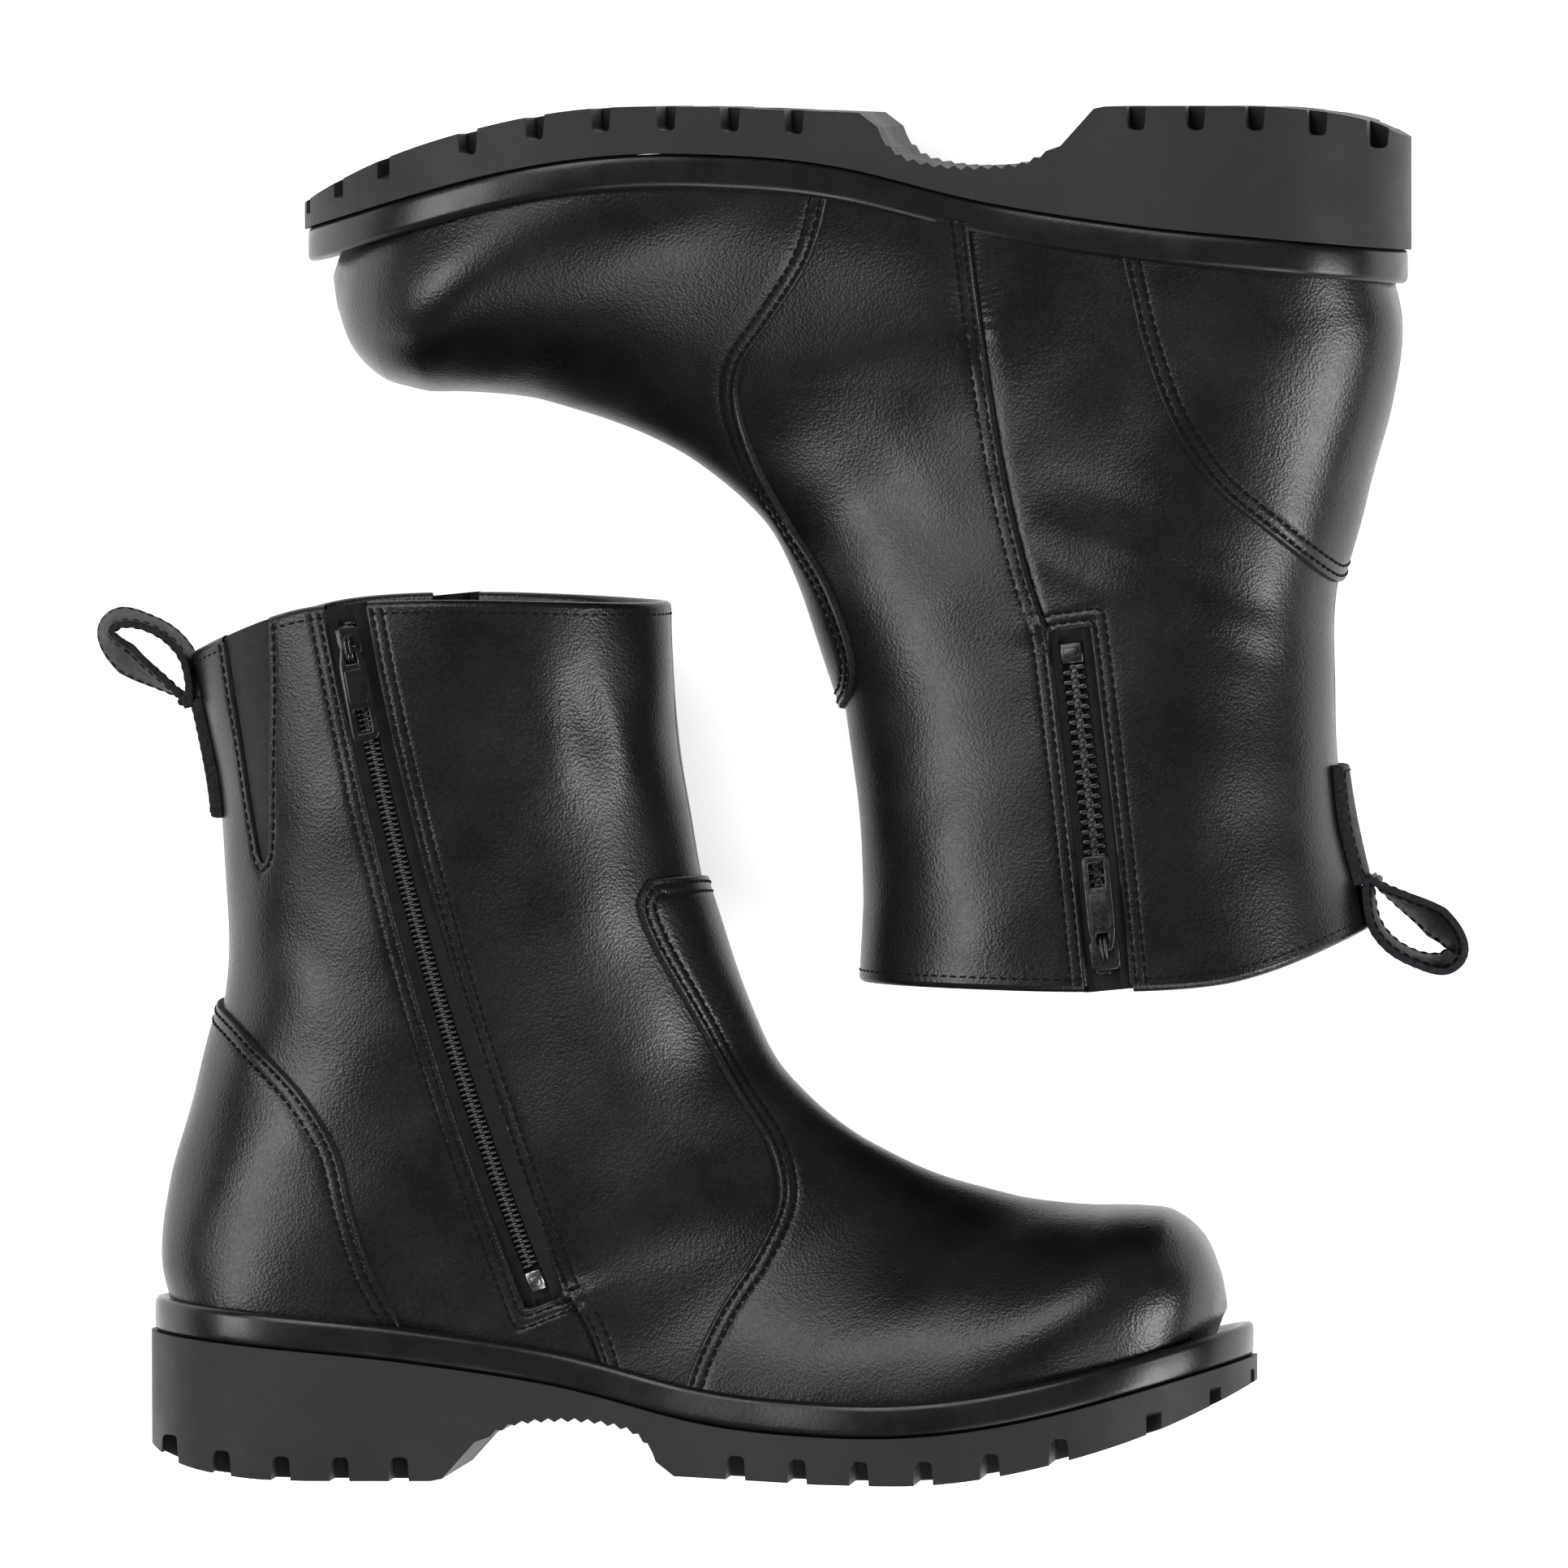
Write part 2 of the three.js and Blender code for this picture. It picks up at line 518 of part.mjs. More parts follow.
// The pull tab: a bar through the bail's eye, two arms beside the bail and a plate with a window.
function pullOf(track) {
  const armIn = BAIL_HALF + GLUE;
  const half = PULL_WIDTH / 2;
  const base = 4.4; // where the plate begins, past the bail's end
  const shape = new THREE.Shape();
  shape.moveTo(-0.9, -armIn - 1).lineTo(base, -half).lineTo(PULL_LENGTH - 1.5, -half);
  shape.lineTo(PULL_LENGTH, -half + 1.5).lineTo(PULL_LENGTH, half - 1.5).lineTo(PULL_LENGTH - 1.5, half);
  shape.lineTo(base, half).lineTo(-0.9, armIn + 1);
  const hole = (s0, s1, w) => {
    const path = new THREE.Path();
    path.moveTo(s0, -w).lineTo(s0, w).lineTo(s1, w).lineTo(s1, -w).lineTo(s0, -w);
    return path;
  };
  shape.holes.push(hole(PULL_LENGTH - 8.5, PULL_LENGTH - 2, half - 1.7));
  const plate = new THREE.ExtrudeGeometry(shape, { depth: PULL_THICK, bevelEnabled: false })
    .translate(0, 0, barAt - PULL_THICK / 2);
  const slotForBail = flatBox(-2, base, -armIn, armIn, barAt - 2, barAt + 2);
  const bar = new THREE.CylinderGeometry(BAR, BAR, 2 * armIn + 1, 8).translate(0, 0, barAt);
  return onTrack(track, sliderRest, plate).subtract(onTrack(track, sliderRest, slotForBail))
    .add(onTrack(track, sliderRest, bar));
}

// The soft bellows behind a zip, between the lining and the foot.
function zipGusset(track, half) {
  const strip = sideOf(track.side, trackStrip(track, half, zipTail + 6));
  return mainBody(skin(liningIn - GLUE - LINING, liningIn - GLUE).intersect(strip));
}

// ---- Pieces of the upper ----
const right = 400 * alongFoot;
const far = 60;

// Everything in front of an edge line, as a side-view outline.
const inFront = (line) => [...line, [right, line.at(-1)[1]], [right, line[0][1]]];
const vampOutline = (side) => inFront([...sideLine(VAMP_EDGE[side]), ...VAMP_CORNER[side].map(place)]);
const behind = (line) => [...line, [-far, line.at(-1)[1]], [-far, line[0][1]]];
const counterOutline = (side) => behind(sideLine(COUNTER_EDGE[side]));

const SIDES = { lateral: 1, medial: -1 };
const bothSides = (outlineOf) =>
  Object.entries(SIDES).map(([name, side]) =>
    (side > 0 ? sidePrism(outlineOf(name), 0, reach) : sidePrism(outlineOf(name), -reach, 0)));

const vampZone = joined(bothSides(vampOutline));
const counterZone = joined(bothSides(counterOutline));
const underVamp = joined(bothSides((name) => moved(vampOutline(name), SEAM_LAP, -SEAM_LAP * 0.7)));
const underCounter = joined(bothSides((name) => moved(counterOutline(name), -SEAM_LAP, -SEAM_LAP * 0.7)));
const underVampCut = joined(bothSides((name) =>
  moved(vampOutline(name), SEAM_LAP - GLUE, -SEAM_LAP * 0.7 + GLUE)));
const underCounterCut = joined(bothSides((name) =>
  moved(counterOutline(name), -SEAM_LAP + GLUE, -SEAM_LAP * 0.7 + GLUE)));

// The line that parts a side's front quarter from its rear one: the zip, then the seam below it.
function partingLine(track, seam) {
  const line = [];
  for (let s = -30; s < track.span; s += 12) {
    const p = track.pointAt(s, 0, 0);
    line.push([p.x, p.z]);
  }
  return [...line, ...seam.map(place)];
}

function quarter(track, seam, isFront) {
  const line = partingLine(track, seam);
  const shift = (isFront ? 1 : -1) * (GLUE / 2);
  const outline = isFront ? inFront(moved(line, shift, 0)) : behind(moved(line, shift, 0));
  const piece = leatherSkin.intersect(sideOf(track.side, outline))
    .subtract(openingOf(track))
    .subtract(isFront ? underVampCut : underCounterCut);
  return mainBody(piece);
}

const TOE_PUFF_FROM = 232; // the stiff toe puff reaches back to here, along the foot

function upperPieces(longTrack, shortTrack) {
  const puffSplit = TOE_PUFF_FROM * alongFoot;
  const puffZone = sidePrism([[puffSplit, -far], [right, -far], [right, 200], [puffSplit, 200]]);
  const behind = puffSplit - GLUE;
  const backOfPuff = sidePrism([[-far, -far], [behind, -far], [behind, 400], [-far, 400]]);
  const notch = sideOf(-1, GUSSET_NOTCH.map(place));
  const notchFill = sideOf(-1, inset([...GUSSET_NOTCH].reverse().map(place), GLUE));
  const longZone = sideOf(-1, trackStrip(longTrack, ZIP_OPENING / 2 + 7, zipTail + 2));
  const shortZone = sideOf(1, trackStrip(shortTrack, ZIP_OPENING / 2 + 4, zipTail + 2));
  const rearMedial = quarter(longTrack, LONG_ZIP_SEAM, false);
  return {
    vamp: [mainBody(overlaySkin.intersect(vampZone)), 'leather'],
    heel_counter: [mainBody(overlaySkin.intersect(counterZone)), 'leather'],
    quarter_front_medial: [quarter(longTrack, LONG_ZIP_SEAM, true), 'leather'],
    quarter_rear_medial: [mainBody(rearMedial.subtract(notch)), 'leather'],
    quarter_front_lateral: [quarter(shortTrack, SHORT_ZIP_SEAM, true), 'leather'],
    quarter_rear_lateral: [quarter(shortTrack, SHORT_ZIP_SEAM, false), 'leather'],
    v_gusset: [mainBody(skin(-LEATHER + GLUE, -GLUE).intersect(notchFill)), 'suede'],
    toe_puff: [mainBody(leatherSkin.intersect(underVamp).intersect(puffZone)), 'stiffener'],
    vamp_interlining: [mainBody(leatherSkin.intersect(underVamp).intersect(backOfPuff)), 'lining'],
    heel_stiffener: [mainBody(leatherSkin.intersect(underCounter)), 'stiffener'],
    lining: [mainBody(liningSkin.subtract(longZone).subtract(shortZone)), 'lining'],
    long_zip_gusset: [zipGusset(longTrack, ZIP_OPENING / 2 + 11), 'suede'],
    short_zip_gusset: [zipGusset(shortTrack, ZIP_OPENING / 2 + 8), 'suede'],
  };
}

// ---- Sole ----
// A closed outline, drawn clockwise, moved inwards.
function inset(outline, by) {
  return outline.map(([x, y], i) => {
    const next = outline[(i + 1) % outline.length];
    const previous = outline[(i + outline.length - 1) % outline.length];
    const [dx, dy] = [next[0] - previous[0], next[1] - previous[1]];
    const length = Math.hypot(dx, dy);
    return [x + (dy / length) * by, y - (dx / length) * by];
  });
}

function closedOutline(points, count) {
  const curve = new THREE.CatmullRomCurve3(points.map(([x, y]) => new THREE.Vector3(x, y, 0)), true);
  return curve.getSpacedPoints(count).slice(0, -1).map((p) => [p.x, p.y]);
}

function planPrism(by) {
  const plan = closedOutline(SOLE_PLAN.map(([x, y]) => [x * alongFoot, y * across]), PLAN_POINTS);
  const shape = new THREE.Shape(inset(plan, by).map((p) => new THREE.Vector2(...p)));
  const prism = new THREE.ExtrudeGeometry(shape, { depth: 2 * reach, bevelEnabled: false });
  return solidOf(prism.translate(0, 0, -reach));
}

// The tread's lowest line from heel to toe, through the heel's breast and the arch.
const soleBottom = [
  ...sideLine(HEEL_BOTTOM, 2), ...HEEL_BREAST.map(place), ...sideLine(FOREFOOT_BOTTOM, 2),
];
const soleTop = raised(weltTop, -WELT_BAND);

// A groove across the tread at x, from yLow to yHigh, narrowing upwards.
function groove(x, yLow, yHigh, gap = LUG_GAP, depth = LUG_DEPTH) {
  const z = heightOn(soleBottom, x);
  const outline = [[x - gap / 2 - 1, z - 12], [x + gap / 2 + 1, z - 12], [x + gap / 2, z + depth * 0.3],
    [x + gap / 2 - 1, z + depth], [x - gap / 2 + 1, z + depth], [x - gap / 2, z + depth * 0.3]];
  return sidePrism(outline, yLow, yHigh);
}

function outsole() {
  const body = planPrism(0).intersect(sidePrism(band(soleBottom, soleTop)));
  const cuts = [];
  const edge = 44 * across - LUG_REACH; // inner ends of the edge grooves
  for (const x of [...HEEL_GROOVES, ...FOREFOOT_GROOVES].map((v) => v * alongFoot)) {
    cuts.push(groove(x, edge, reach), groove(x, -reach, -edge));
  }
  for (const x of FOREFOOT_GROOVES.slice(0, -1).map((v) => (v + 8.6) * alongFoot)) {
    cuts.push(groove(x, -edge + 9, edge - 9, LUG_GAP * 0.8, LUG_DEPTH * 0.8));
  }
  const [cx, cy] = [TOE_CENTRE[0] * alongFoot, TOE_CENTRE[1] * across];
  for (const degrees of TOE_GROOVES) {
    const turn = THREE.MathUtils.degToRad(degrees);
    const along = new THREE.Vector2(Math.cos(turn), Math.sin(turn));
    const z = heightOn(soleBottom, cx + along.x * 44);
    const slot = new THREE.BoxGeometry(30, LUG_GAP * 0.7, 2 * LUG_DEPTH)
      .rotateY(-0.35 * along.x).rotateZ(turn)
      .translate(cx + along.x * 50, cy + along.y * 47, z - LUG_DEPTH * 0.2);
    cuts.push(solidOf(slot));
  }
  return mainBody(body.subtract(joined(cuts)));
}

function welt() {
  const band3 = sidePrism(band(raised(soleTop, GLUE), weltTop));
  const seat = volume(overlay[1] + GLUE).intersect(sidePrism(band(ledge, raised(ledge, far))));
  return mainBody(planPrism(WELT_INSET).intersect(band3).subtract(seat).subtract(shankPocket()));
}

// The shank lies in a pocket of the welt's midsole, from under the heel to behind the ball.
const SHANK_SPAN = [52, 160];
function shankLine(from, to) {
  const line = [];
  for (let i = 0; i <= 8; i++) {
    const x = (from + ((to - from) * i) / 8) * alongFoot;
    line.push([x, heightOn(ledge, x)]);
  }
  return line;
}
function shank() {
  const line = shankLine(...SHANK_SPAN);
  return sidePrism(band(raised(line, -SHANK - GLUE), raised(line, -GLUE)), -SHANK_WIDTH / 2, SHANK_WIDTH / 2);
}
function shankPocket() {
  const line = shankLine(SHANK_SPAN[0] - 1, SHANK_SPAN[1] + 1);
  const half = SHANK_WIDTH / 2 + GLUE;
  return sidePrism(band(raised(line, -SHANK - 2 * GLUE), raised(line, far)), -half, half);
}

const footSlab = (low, high) => sidePrism(band(raised(ledge, low), raised(ledge, high)));
const insideLining = volume(liningIn - GLUE);
const insoleBoard = () => mainBody(insideLining.intersect(footSlab(GLUE, GLUE + BOARD)));
const footbed = (gussets) =>
  mainBody(insideLining.intersect(footSlab(2 * GLUE + BOARD, 2 * GLUE + BOARD + FOOTBED)).subtract(gussets));

// ---- Pull loop ----
// A strap sewn double to the back of the shaft, whose free end is a loop that leans backwards. The side
// view gives the loop's outer face.
const LOOP_PIVOT = [9.6, 209.5]; // where the free loop leaves the stitched legs
const LOOP_FACE = [
  [9.4, 207.4], [1.5, 212], [-7, 217], [-13.2, 224], [-14, 231.2],
  [-8, 234.4], [1, 231.2], [8, 221.6], [11.8, 210],
];
const LOOP_POINTS = 22;
const LOOP_EYE_FROM = 7; // the legs are pressed together this near to the pivot
const ANCHOR_FOOT = 178; // drawn height of the stitched legs' lower end

const loopPivot = place(LOOP_PIVOT);
const loopPoint = ([x, z]) => [x + loopPivot[0] - LOOP_PIVOT[0], z + loopPivot[1] - LOOP_PIVOT[1]];
const strapPrism = (outline) => sidePrism(outline, -STRAP_WIDTH / 2, STRAP_WIDTH / 2);
const barrel = (radius) =>
  solidOf(new THREE.CylinderGeometry(radius, radius, STRAP_WIDTH, 16)
    .translate(loopPivot[0], 0, loopPivot[1]));

function pullLoop() {
  const face = closedOutline(LOOP_FACE.map(loopPoint), LOOP_POINTS);
  const eye = inset(face, STRAP)
    .filter(([x, z]) => Math.hypot(x - loopPivot[0], z - loopPivot[1]) > LOOP_EYE_FROM);
  return mainBody(strapPrism(face).add(barrel(STRAP)).subtract(sidePrism(eye)).subtract(volume(2 * GLUE)));
}

// The seat that the loop turns in, longer than the strap is wide.
const barrelSeat = solidOf(new THREE.CylinderGeometry(STRAP + RUNNING, STRAP + RUNNING, 2 * STRAP_WIDTH, 16)
  .translate(loopPivot[0], 0, loopPivot[1]));

function loopAnchor() {
  const [, foot] = place([0, ANCHOR_FOOT]);
  const slab = strapPrism([[-far, foot], [far, foot], [far, loopPivot[1]], [-far, loopPivot[1]]]);
  const legs = volume(GLUE + 2 * STRAP).subtract(volume(GLUE)).intersect(slab);
  return mainBody(legs.subtract(barrelSeat));
}

// ---- One boot ----
const COLOURS = {
  leather: { color: 0x17171a, roughness: 0.42, metalness: 0 },
  suede: { color: 0x1c1c1f, roughness: 0.9, metalness: 0 },
  lining: { color: 0x202024, roughness: 0.85, metalness: 0 },
  board: { color: 0x6b5a48, roughness: 0.9, metalness: 0 },
  stiffener: { color: 0x8c8272, roughness: 0.8, metalness: 0 },
  rubber: { color: 0x1d1d1f, roughness: 0.6, metalness: 0 },
  steel: { color: 0x9a9da0, roughness: 0.35, metalness: 1 },
  silver_metal: { color: 0xd0d0d2, roughness: 0.15, metalness: 1 },
  tape: { color: 0x141416, roughness: 0.85, metalness: 0 },
  coil: { color: 0x121214, roughness: 0.35, metalness: 0 },
  gunmetal: { color: 0x3a3a3c, roughness: 0.4, metalness: 1 },
  black_metal: { color: 0x0b0b0c, roughness: 0.15, metalness: 1 },
};

const longTrack = zipTrack(LONG_ZIP);
const shortTrack = zipTrack(SHORT_ZIP);

function zipPieces(name, track, chain, pitch, finishes) {
  return {
    [`${name}_tape`]: [tapeOf(track, chain), 'tape'],
    [`${name}_teeth`]: [teethPair(track, chain, pitch), finishes.teeth],
    [`${name}_bottom_stop`]: [bottomStop(track, chain), finishes.stop],
    [`${name}_slider`]: [sliderOf(track, chain), finishes.slider],
    [`${name}_pull`]: [pullOf(track), finishes.slider],
  };
}

function bootPieces() {
  const upper = upperPieces(longTrack, shortTrack);
  const gussets = joined([upper.long_zip_gusset[0], upper.short_zip_gusset[0]]);
  return {
    outsole: [outsole(), 'rubber'],
    welt: [welt(), 'rubber'],
    shank: [shank(), 'steel'],
    insole_board: [insoleBoard(), 'board'],
    footbed: [footbed(gussets), 'lining'],
    ...upper,
    pull_loop: [pullLoop(), 'leather'],
    pull_loop_anchor: [loopAnchor(), 'leather'],
    ...zipPieces('long_zip', longTrack, LONG_CHAIN, 0,
      { teeth: 'coil', stop: 'silver_metal', slider: 'black_metal' }),
    ...zipPieces('short_zip', shortTrack, SHORT_CHAIN, 5,
      { teeth: 'gunmetal', stop: 'gunmetal', slider: 'gunmetal' }),
  };
}

// Joints of one boot in its own frame, for whoever moves the pieces.
function bootJoints() {
  const tracks = { long_zip: longTrack, short_zip: shortTrack };
  const zipJoints = Object.entries(tracks).flatMap(([name, track]) => {
    const travel = track.span - sliderRest - SLIDER_LENGTH / 2;
    const bar = track.pointAt(sliderRest, 0, barAt);
    const lifts = track.frameAt(sliderRest);
    return [
      { name: `${name}_slide`, moves: `${name}_slider`, point: track.centre, axis: track.axis,
        degrees: THREE.MathUtils.radToDeg(travel / track.radius) },
      { name: `${name}_pull_hinge`, moves: `${name}_pull`, point: bar,
        axis: lifts.t.clone().cross(lifts.o), degrees: 170 },
    ];
  });
  return [...zipJoints, { name: 'pull_loop_hinge', moves: 'pull_loop',
    point: new THREE.Vector3(loopPivot[0], 0, loopPivot[1]),
    axis: new THREE.Vector3(0, -1, 0), degrees: 60 }];
}

const pieces = bootPieces();
const joints = bootJoints();

function boot(prefix) {
  const group = new THREE.Group();
  for (const [name, [solid, finish]] of Object.entries(pieces)) {
    const material = new THREE.MeshStandardMaterial(COLOURS[finish]);
    const mesh = new THREE.Mesh(geometryOf(solid), material);
    mesh.name = `${prefix}_${name}`;
    mesh.userData.joint = joints.find((joint) => joint.moves === name);
    group.add(mesh);
  }
  return group;
}

// ---- How the boots lie ----
// A boot put down on one side rests on its shaft, the ball of its sole and its heel. Starting with that
// side down, it is turned until the lowest points of those three regions are level.
function layOnSide(group, sideDown) {
  const corners = group.children.filter((mesh) => !/pull/.test(mesh.name)).flatMap((mesh) => {
    const p = mesh.geometry.getAttribute('position');
    return Array.from({ length: p.count }, (_, i) => new THREE.Vector3(p.getX(i), p.getY(i), p.getZ(i)));
  });
  const regions = [
    (p) => p.z > SHAFT_HEIGHT * 0.6,
    (p) => p.z < SHAFT_HEIGHT * 0.25 && p.x > BOOT_LENGTH * 0.5,
    (p) => p.z < SHAFT_HEIGHT * 0.25 && p.x < BOOT_LENGTH * 0.33,
  ].map((inside) => corners.filter(inside));
  const turn = new THREE.Quaternion().setFromAxisAngle(new THREE.Vector3(1, 0, 0), (-sideDown * Math.PI) / 2);
  const up = new THREE.Vector3(0, 0, 1);
  for (let pass = 0; pass < 8; pass++) {
    const [shaft, ball, heel] = regions.map((points) =>
      points.map((p) => p.clone().applyQuaternion(turn)).reduce((a, b) => (b.z < a.z ? b : a)));
    const level = ball.clone().sub(shaft).cross(heel.clone().sub(shaft)).normalize();
    if (level.z < 0) level.negate();
    turn.premultiply(new THREE.Quaternion().setFromUnitVectors(level, up));
  }
  return turn;
}

// A boot lying down with its lowest point at height 0, turned about the vertical and moved.
function lying(name, mirrored, turnDegrees) {
  const shape = boot(name);
  const turn = layOnSide(shape, 1);
  const tilted = new THREE.Group();
  tilted.quaternion.copy(turn);
  tilted.add(shape);
  const placed = new THREE.Group();
  placed.add(tilted);
  if (mirrored) placed.scale.z = -1;
  placed.rotation.z = THREE.MathUtils.degToRad(turnDegrees);
  return placed;
}

const boxOf = (object) => {
  object.updateMatrixWorld(true);
  return new THREE.Box3().setFromObject(object, true);
};

const pair = new THREE.Group();
const leftBoot = lying('left', false, 0);
const rightBoot = lying('right', true, 180);
const shaftFront = SECTIONS[0][0][0] * alongFoot;
rightBoot.position.set(2 * shaftFront + SHAFTS_APART, SHAFT_HEIGHT + RIM_OVER_SOLE, 0);
for (const one of [leftBoot, rightBoot]) {
  one.position.z -= boxOf(one).min.z;
  pair.add(one);
}
const middle = boxOf(pair).getCenter(new THREE.Vector3());
for (const one of [leftBoot, rightBoot]) {
  one.position.x -= middle.x;
  one.position.y -= middle.y;
}

export default pair;
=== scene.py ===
"""Looks for a pair of leather side-zip ankle boots that lie on their sides, built round the CAD frame.

Each boot is drawn in its own frame in millimetres, as it stands: x to the toe, y to the outer (lateral)
side, z up. The upper's surface is given by t, from the shaft's top to the toe, and by the angle round the
section, from 0 at its front through the outer side. Leather pieces are patches of that surface, raised or
sunk by a height that depends on how far a point lies inside the piece's edges.
"""
import json
import math

import bmesh
import bpy
import numpy as np
from mathutils import Matrix, Vector


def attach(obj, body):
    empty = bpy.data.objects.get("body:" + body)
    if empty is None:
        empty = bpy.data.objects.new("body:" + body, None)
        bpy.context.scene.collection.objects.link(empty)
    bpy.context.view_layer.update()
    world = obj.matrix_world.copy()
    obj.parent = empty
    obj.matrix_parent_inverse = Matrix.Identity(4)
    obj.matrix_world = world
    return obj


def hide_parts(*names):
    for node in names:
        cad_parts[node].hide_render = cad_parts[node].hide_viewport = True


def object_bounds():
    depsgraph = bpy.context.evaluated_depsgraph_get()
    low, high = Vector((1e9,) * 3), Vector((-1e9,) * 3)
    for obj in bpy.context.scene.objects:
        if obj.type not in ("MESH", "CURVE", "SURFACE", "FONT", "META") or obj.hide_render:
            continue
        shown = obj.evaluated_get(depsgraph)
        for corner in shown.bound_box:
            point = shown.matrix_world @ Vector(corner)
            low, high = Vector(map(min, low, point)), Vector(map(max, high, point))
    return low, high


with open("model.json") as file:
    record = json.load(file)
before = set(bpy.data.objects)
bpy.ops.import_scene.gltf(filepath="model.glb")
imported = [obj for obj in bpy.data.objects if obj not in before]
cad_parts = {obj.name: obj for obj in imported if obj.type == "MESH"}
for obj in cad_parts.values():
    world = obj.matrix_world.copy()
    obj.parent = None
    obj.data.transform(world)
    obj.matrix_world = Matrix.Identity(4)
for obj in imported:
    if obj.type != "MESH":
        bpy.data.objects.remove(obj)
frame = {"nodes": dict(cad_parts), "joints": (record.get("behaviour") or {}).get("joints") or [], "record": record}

cad_low, cad_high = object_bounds()
MM = 0.001
SIDES = ("left", "right")
MOUNTS = {m["name"]: m for m in frame["record"]["mounts"]}
JOINTS = {j["name"]: j for j in frame["joints"]}
HEEL_TREAD = (62, 0)  # where the two treads are measured in a boot's own frame
BALL_TREAD = (195, 16.7)


# ---- Frames of the two boots ----
def boot_matrix(side):
    """From a boot's own frame to the row frame, both in metres. The right boot's frame is mirrored."""
    heel = Vector(MOUNTS[f"{side}_heel_tread"]["pos_m"])
    ball = Vector(MOUNTS[f"{side}_ball_tread"]["pos_m"])
    up = -Vector(MOUNTS[f"{side}_heel_tread"]["axis"]).normalized()
    mirrored = 1 if side == "left" else -1
    dx, dy = BALL_TREAD[0] - HEEL_TREAD[0], BALL_TREAD[1] - HEEL_TREAD[1]
    between = (ball - heel) / math.hypot(dx, dy) / MM
    across = up.cross(between) * mirrored
    ahead = ((between * dx - across * dy) / math.hypot(dx, dy)).normalized()
    outer = up.cross(ahead).normalized() * mirrored
    turn = Matrix((ahead, outer, up)).transposed().to_4x4()
    return Matrix.Translation(heel - ahead * HEEL_TREAD[0] * MM) @ turn


MATRICES = {side: np.array(boot_matrix(side)) for side in SIDES}


def to_row(side, points):
    m = MATRICES[side]
    return (np.asarray(points) * MM) @ m[:3, :3].T + m[:3, 3]


def to_boot(side, point):
    m = MATRICES[side]
    return (np.asarray(point) - m[:3, 3]) @ m[:3, :3] / MM


# ---- The upper's surface ----
# Front and back end in the side view, half widths to the outer and inner side, shift of the middle, share
# of the depth at which it is widest, and roundness of the front and back halves.
SECTIONS = np.array([
    [141, 253, 7, 241, 47, 47, 0, 0.5, 2.2, 2.2],
    [142, 225, 13, 214, 47, 47, 0, 0.5, 2.2, 2.2],
    [144, 196, 18.5, 188, 45.5, 45.5, 0, 0.5, 2.2, 2.2],
    [149, 167, 21, 160, 43, 43, 0, 0.5, 2.1, 2.2],
    [157, 139, 20.5, 131, 40, 40, 0, 0.52, 2.1, 2.2],
    [166, 116, 14, 106, 37.5, 37.5, 0, 0.55, 2, 2.2],
    [177, 102, 6.5, 80, 36, 36, 0, 0.58, 1.95, 2.4],
    [189, 92, 5, 54, 35.5, 35, 0, 0.63, 1.9, 2.9],
    [202, 84.5, 19, 33, 35.5, 34.5, 0.5, 0.69, 1.9, 3.8],
    [214, 79.2, 62, 29, 36, 34, 1, 0.73, 1.9, 3.6],
    [226, 75.5, 103, 21, 38.5, 34.5, 1.5, 0.75, 1.95, 3.4],
    [238, 72.6, 143, 13, 42.5, 38.5, 1.5, 0.74, 2, 3.4],
    [249, 70.8, 181, 8.5, 46.5, 43, 1.5, 0.72, 2.1, 3.2],
    [259.5, 69.6, 214, 9, 47.5, 45, 1, 0.7, 2.2, 3],
    [269, 69.2, 242, 13.5, 45, 43, 0, 0.66, 2.4, 3],
    [277.5, 68, 264, 20, 38.5, 37.5, -1.5, 0.64, 2.4, 2.8],
    [284.5, 63.6, 278, 27.5, 29, 29, -3, 0.6, 2.3, 2.6],
    [289, 56, 286.5, 35, 17, 17, -4, 0.55, 2.2, 2.4],
    [290.8, 49, 290.6, 43, 4.5, 4.5, -4.5, 0.5, 2, 2],
    [291.2, 46.1, 291.2, 45.9, 0.1, 0.1, -4.5, 0.5, 2, 2],
])
TOE_T = len(SECTIONS) - 1.03
WELT_TOP = [(-12, 49.4), (36, 45), (72, 41.4), (113, 35), (151, 25.6), (180, 22.4), (212, 22.4), (245, 27.4),
            (289, 39.2), (312, 45.5)]
TOP_LINE = [(-20, 208), (0, 215.5), (13, 223.5), (36, 233), (56, 237), (90, 238), (142, 236.6), (180, 236)]
VAMP_EDGE = {
    1: [(153, 12), (155, 27), (160, 42), (170, 56.5), (179, 68.5), (179.5, 80), (174, 95), (164, 112),
        (153.5, 129.5), (147.6, 146), (147.2, 155), (149.6, 160.5), (155, 162.6), (190, 163)],
    -1: [(147, 12), (149.5, 27.5), (157, 45), (167, 61), (172.6, 75), (170, 89), (161, 103.5), (150, 124),
         (139, 144.5), (135.4, 155), (137.4, 160.4), (142.5, 162.4), (190, 163)],
}
COUNTER_EDGE = {
    1: [(80, 22), (75.8, 41), (71, 62), (63.5, 83.5), (52.5, 101), (37.5, 114.6), (19.6, 129.6), (-6, 148)],
    -1: [(78, 22), (71.5, 41.5), (63.5, 57), (58.4, 73), (54.5, 89), (45.5, 103.5), (33, 116), (19.8, 127),
         (-6, 142)],
}
NOTCH_REAR = [(33.2, 166), (31.5, 171), (27, 200), (21.5, 236), (19, 252)]
NOTCH_FRONT = [(33.2, 166), (35, 171), (35.8, 200), (36.4, 252)]
LONG_ZIP = {"name": "long_zip", "side": -1, "points": [(58.6, 232), (76.5, 152), (107, 57)],
            "seam": [(117.5, 49), (124.5, 35), (131, 12)]}
SHORT_ZIP = {"name": "short_zip", "side": 1, "points": [(79, 233), (83.6, 190), (88.6, 150)],
             "seam": [(96.5, 139), (101.5, 124), (107, 101), (112.5, 69), (116.5, 36), (118, 12)]}
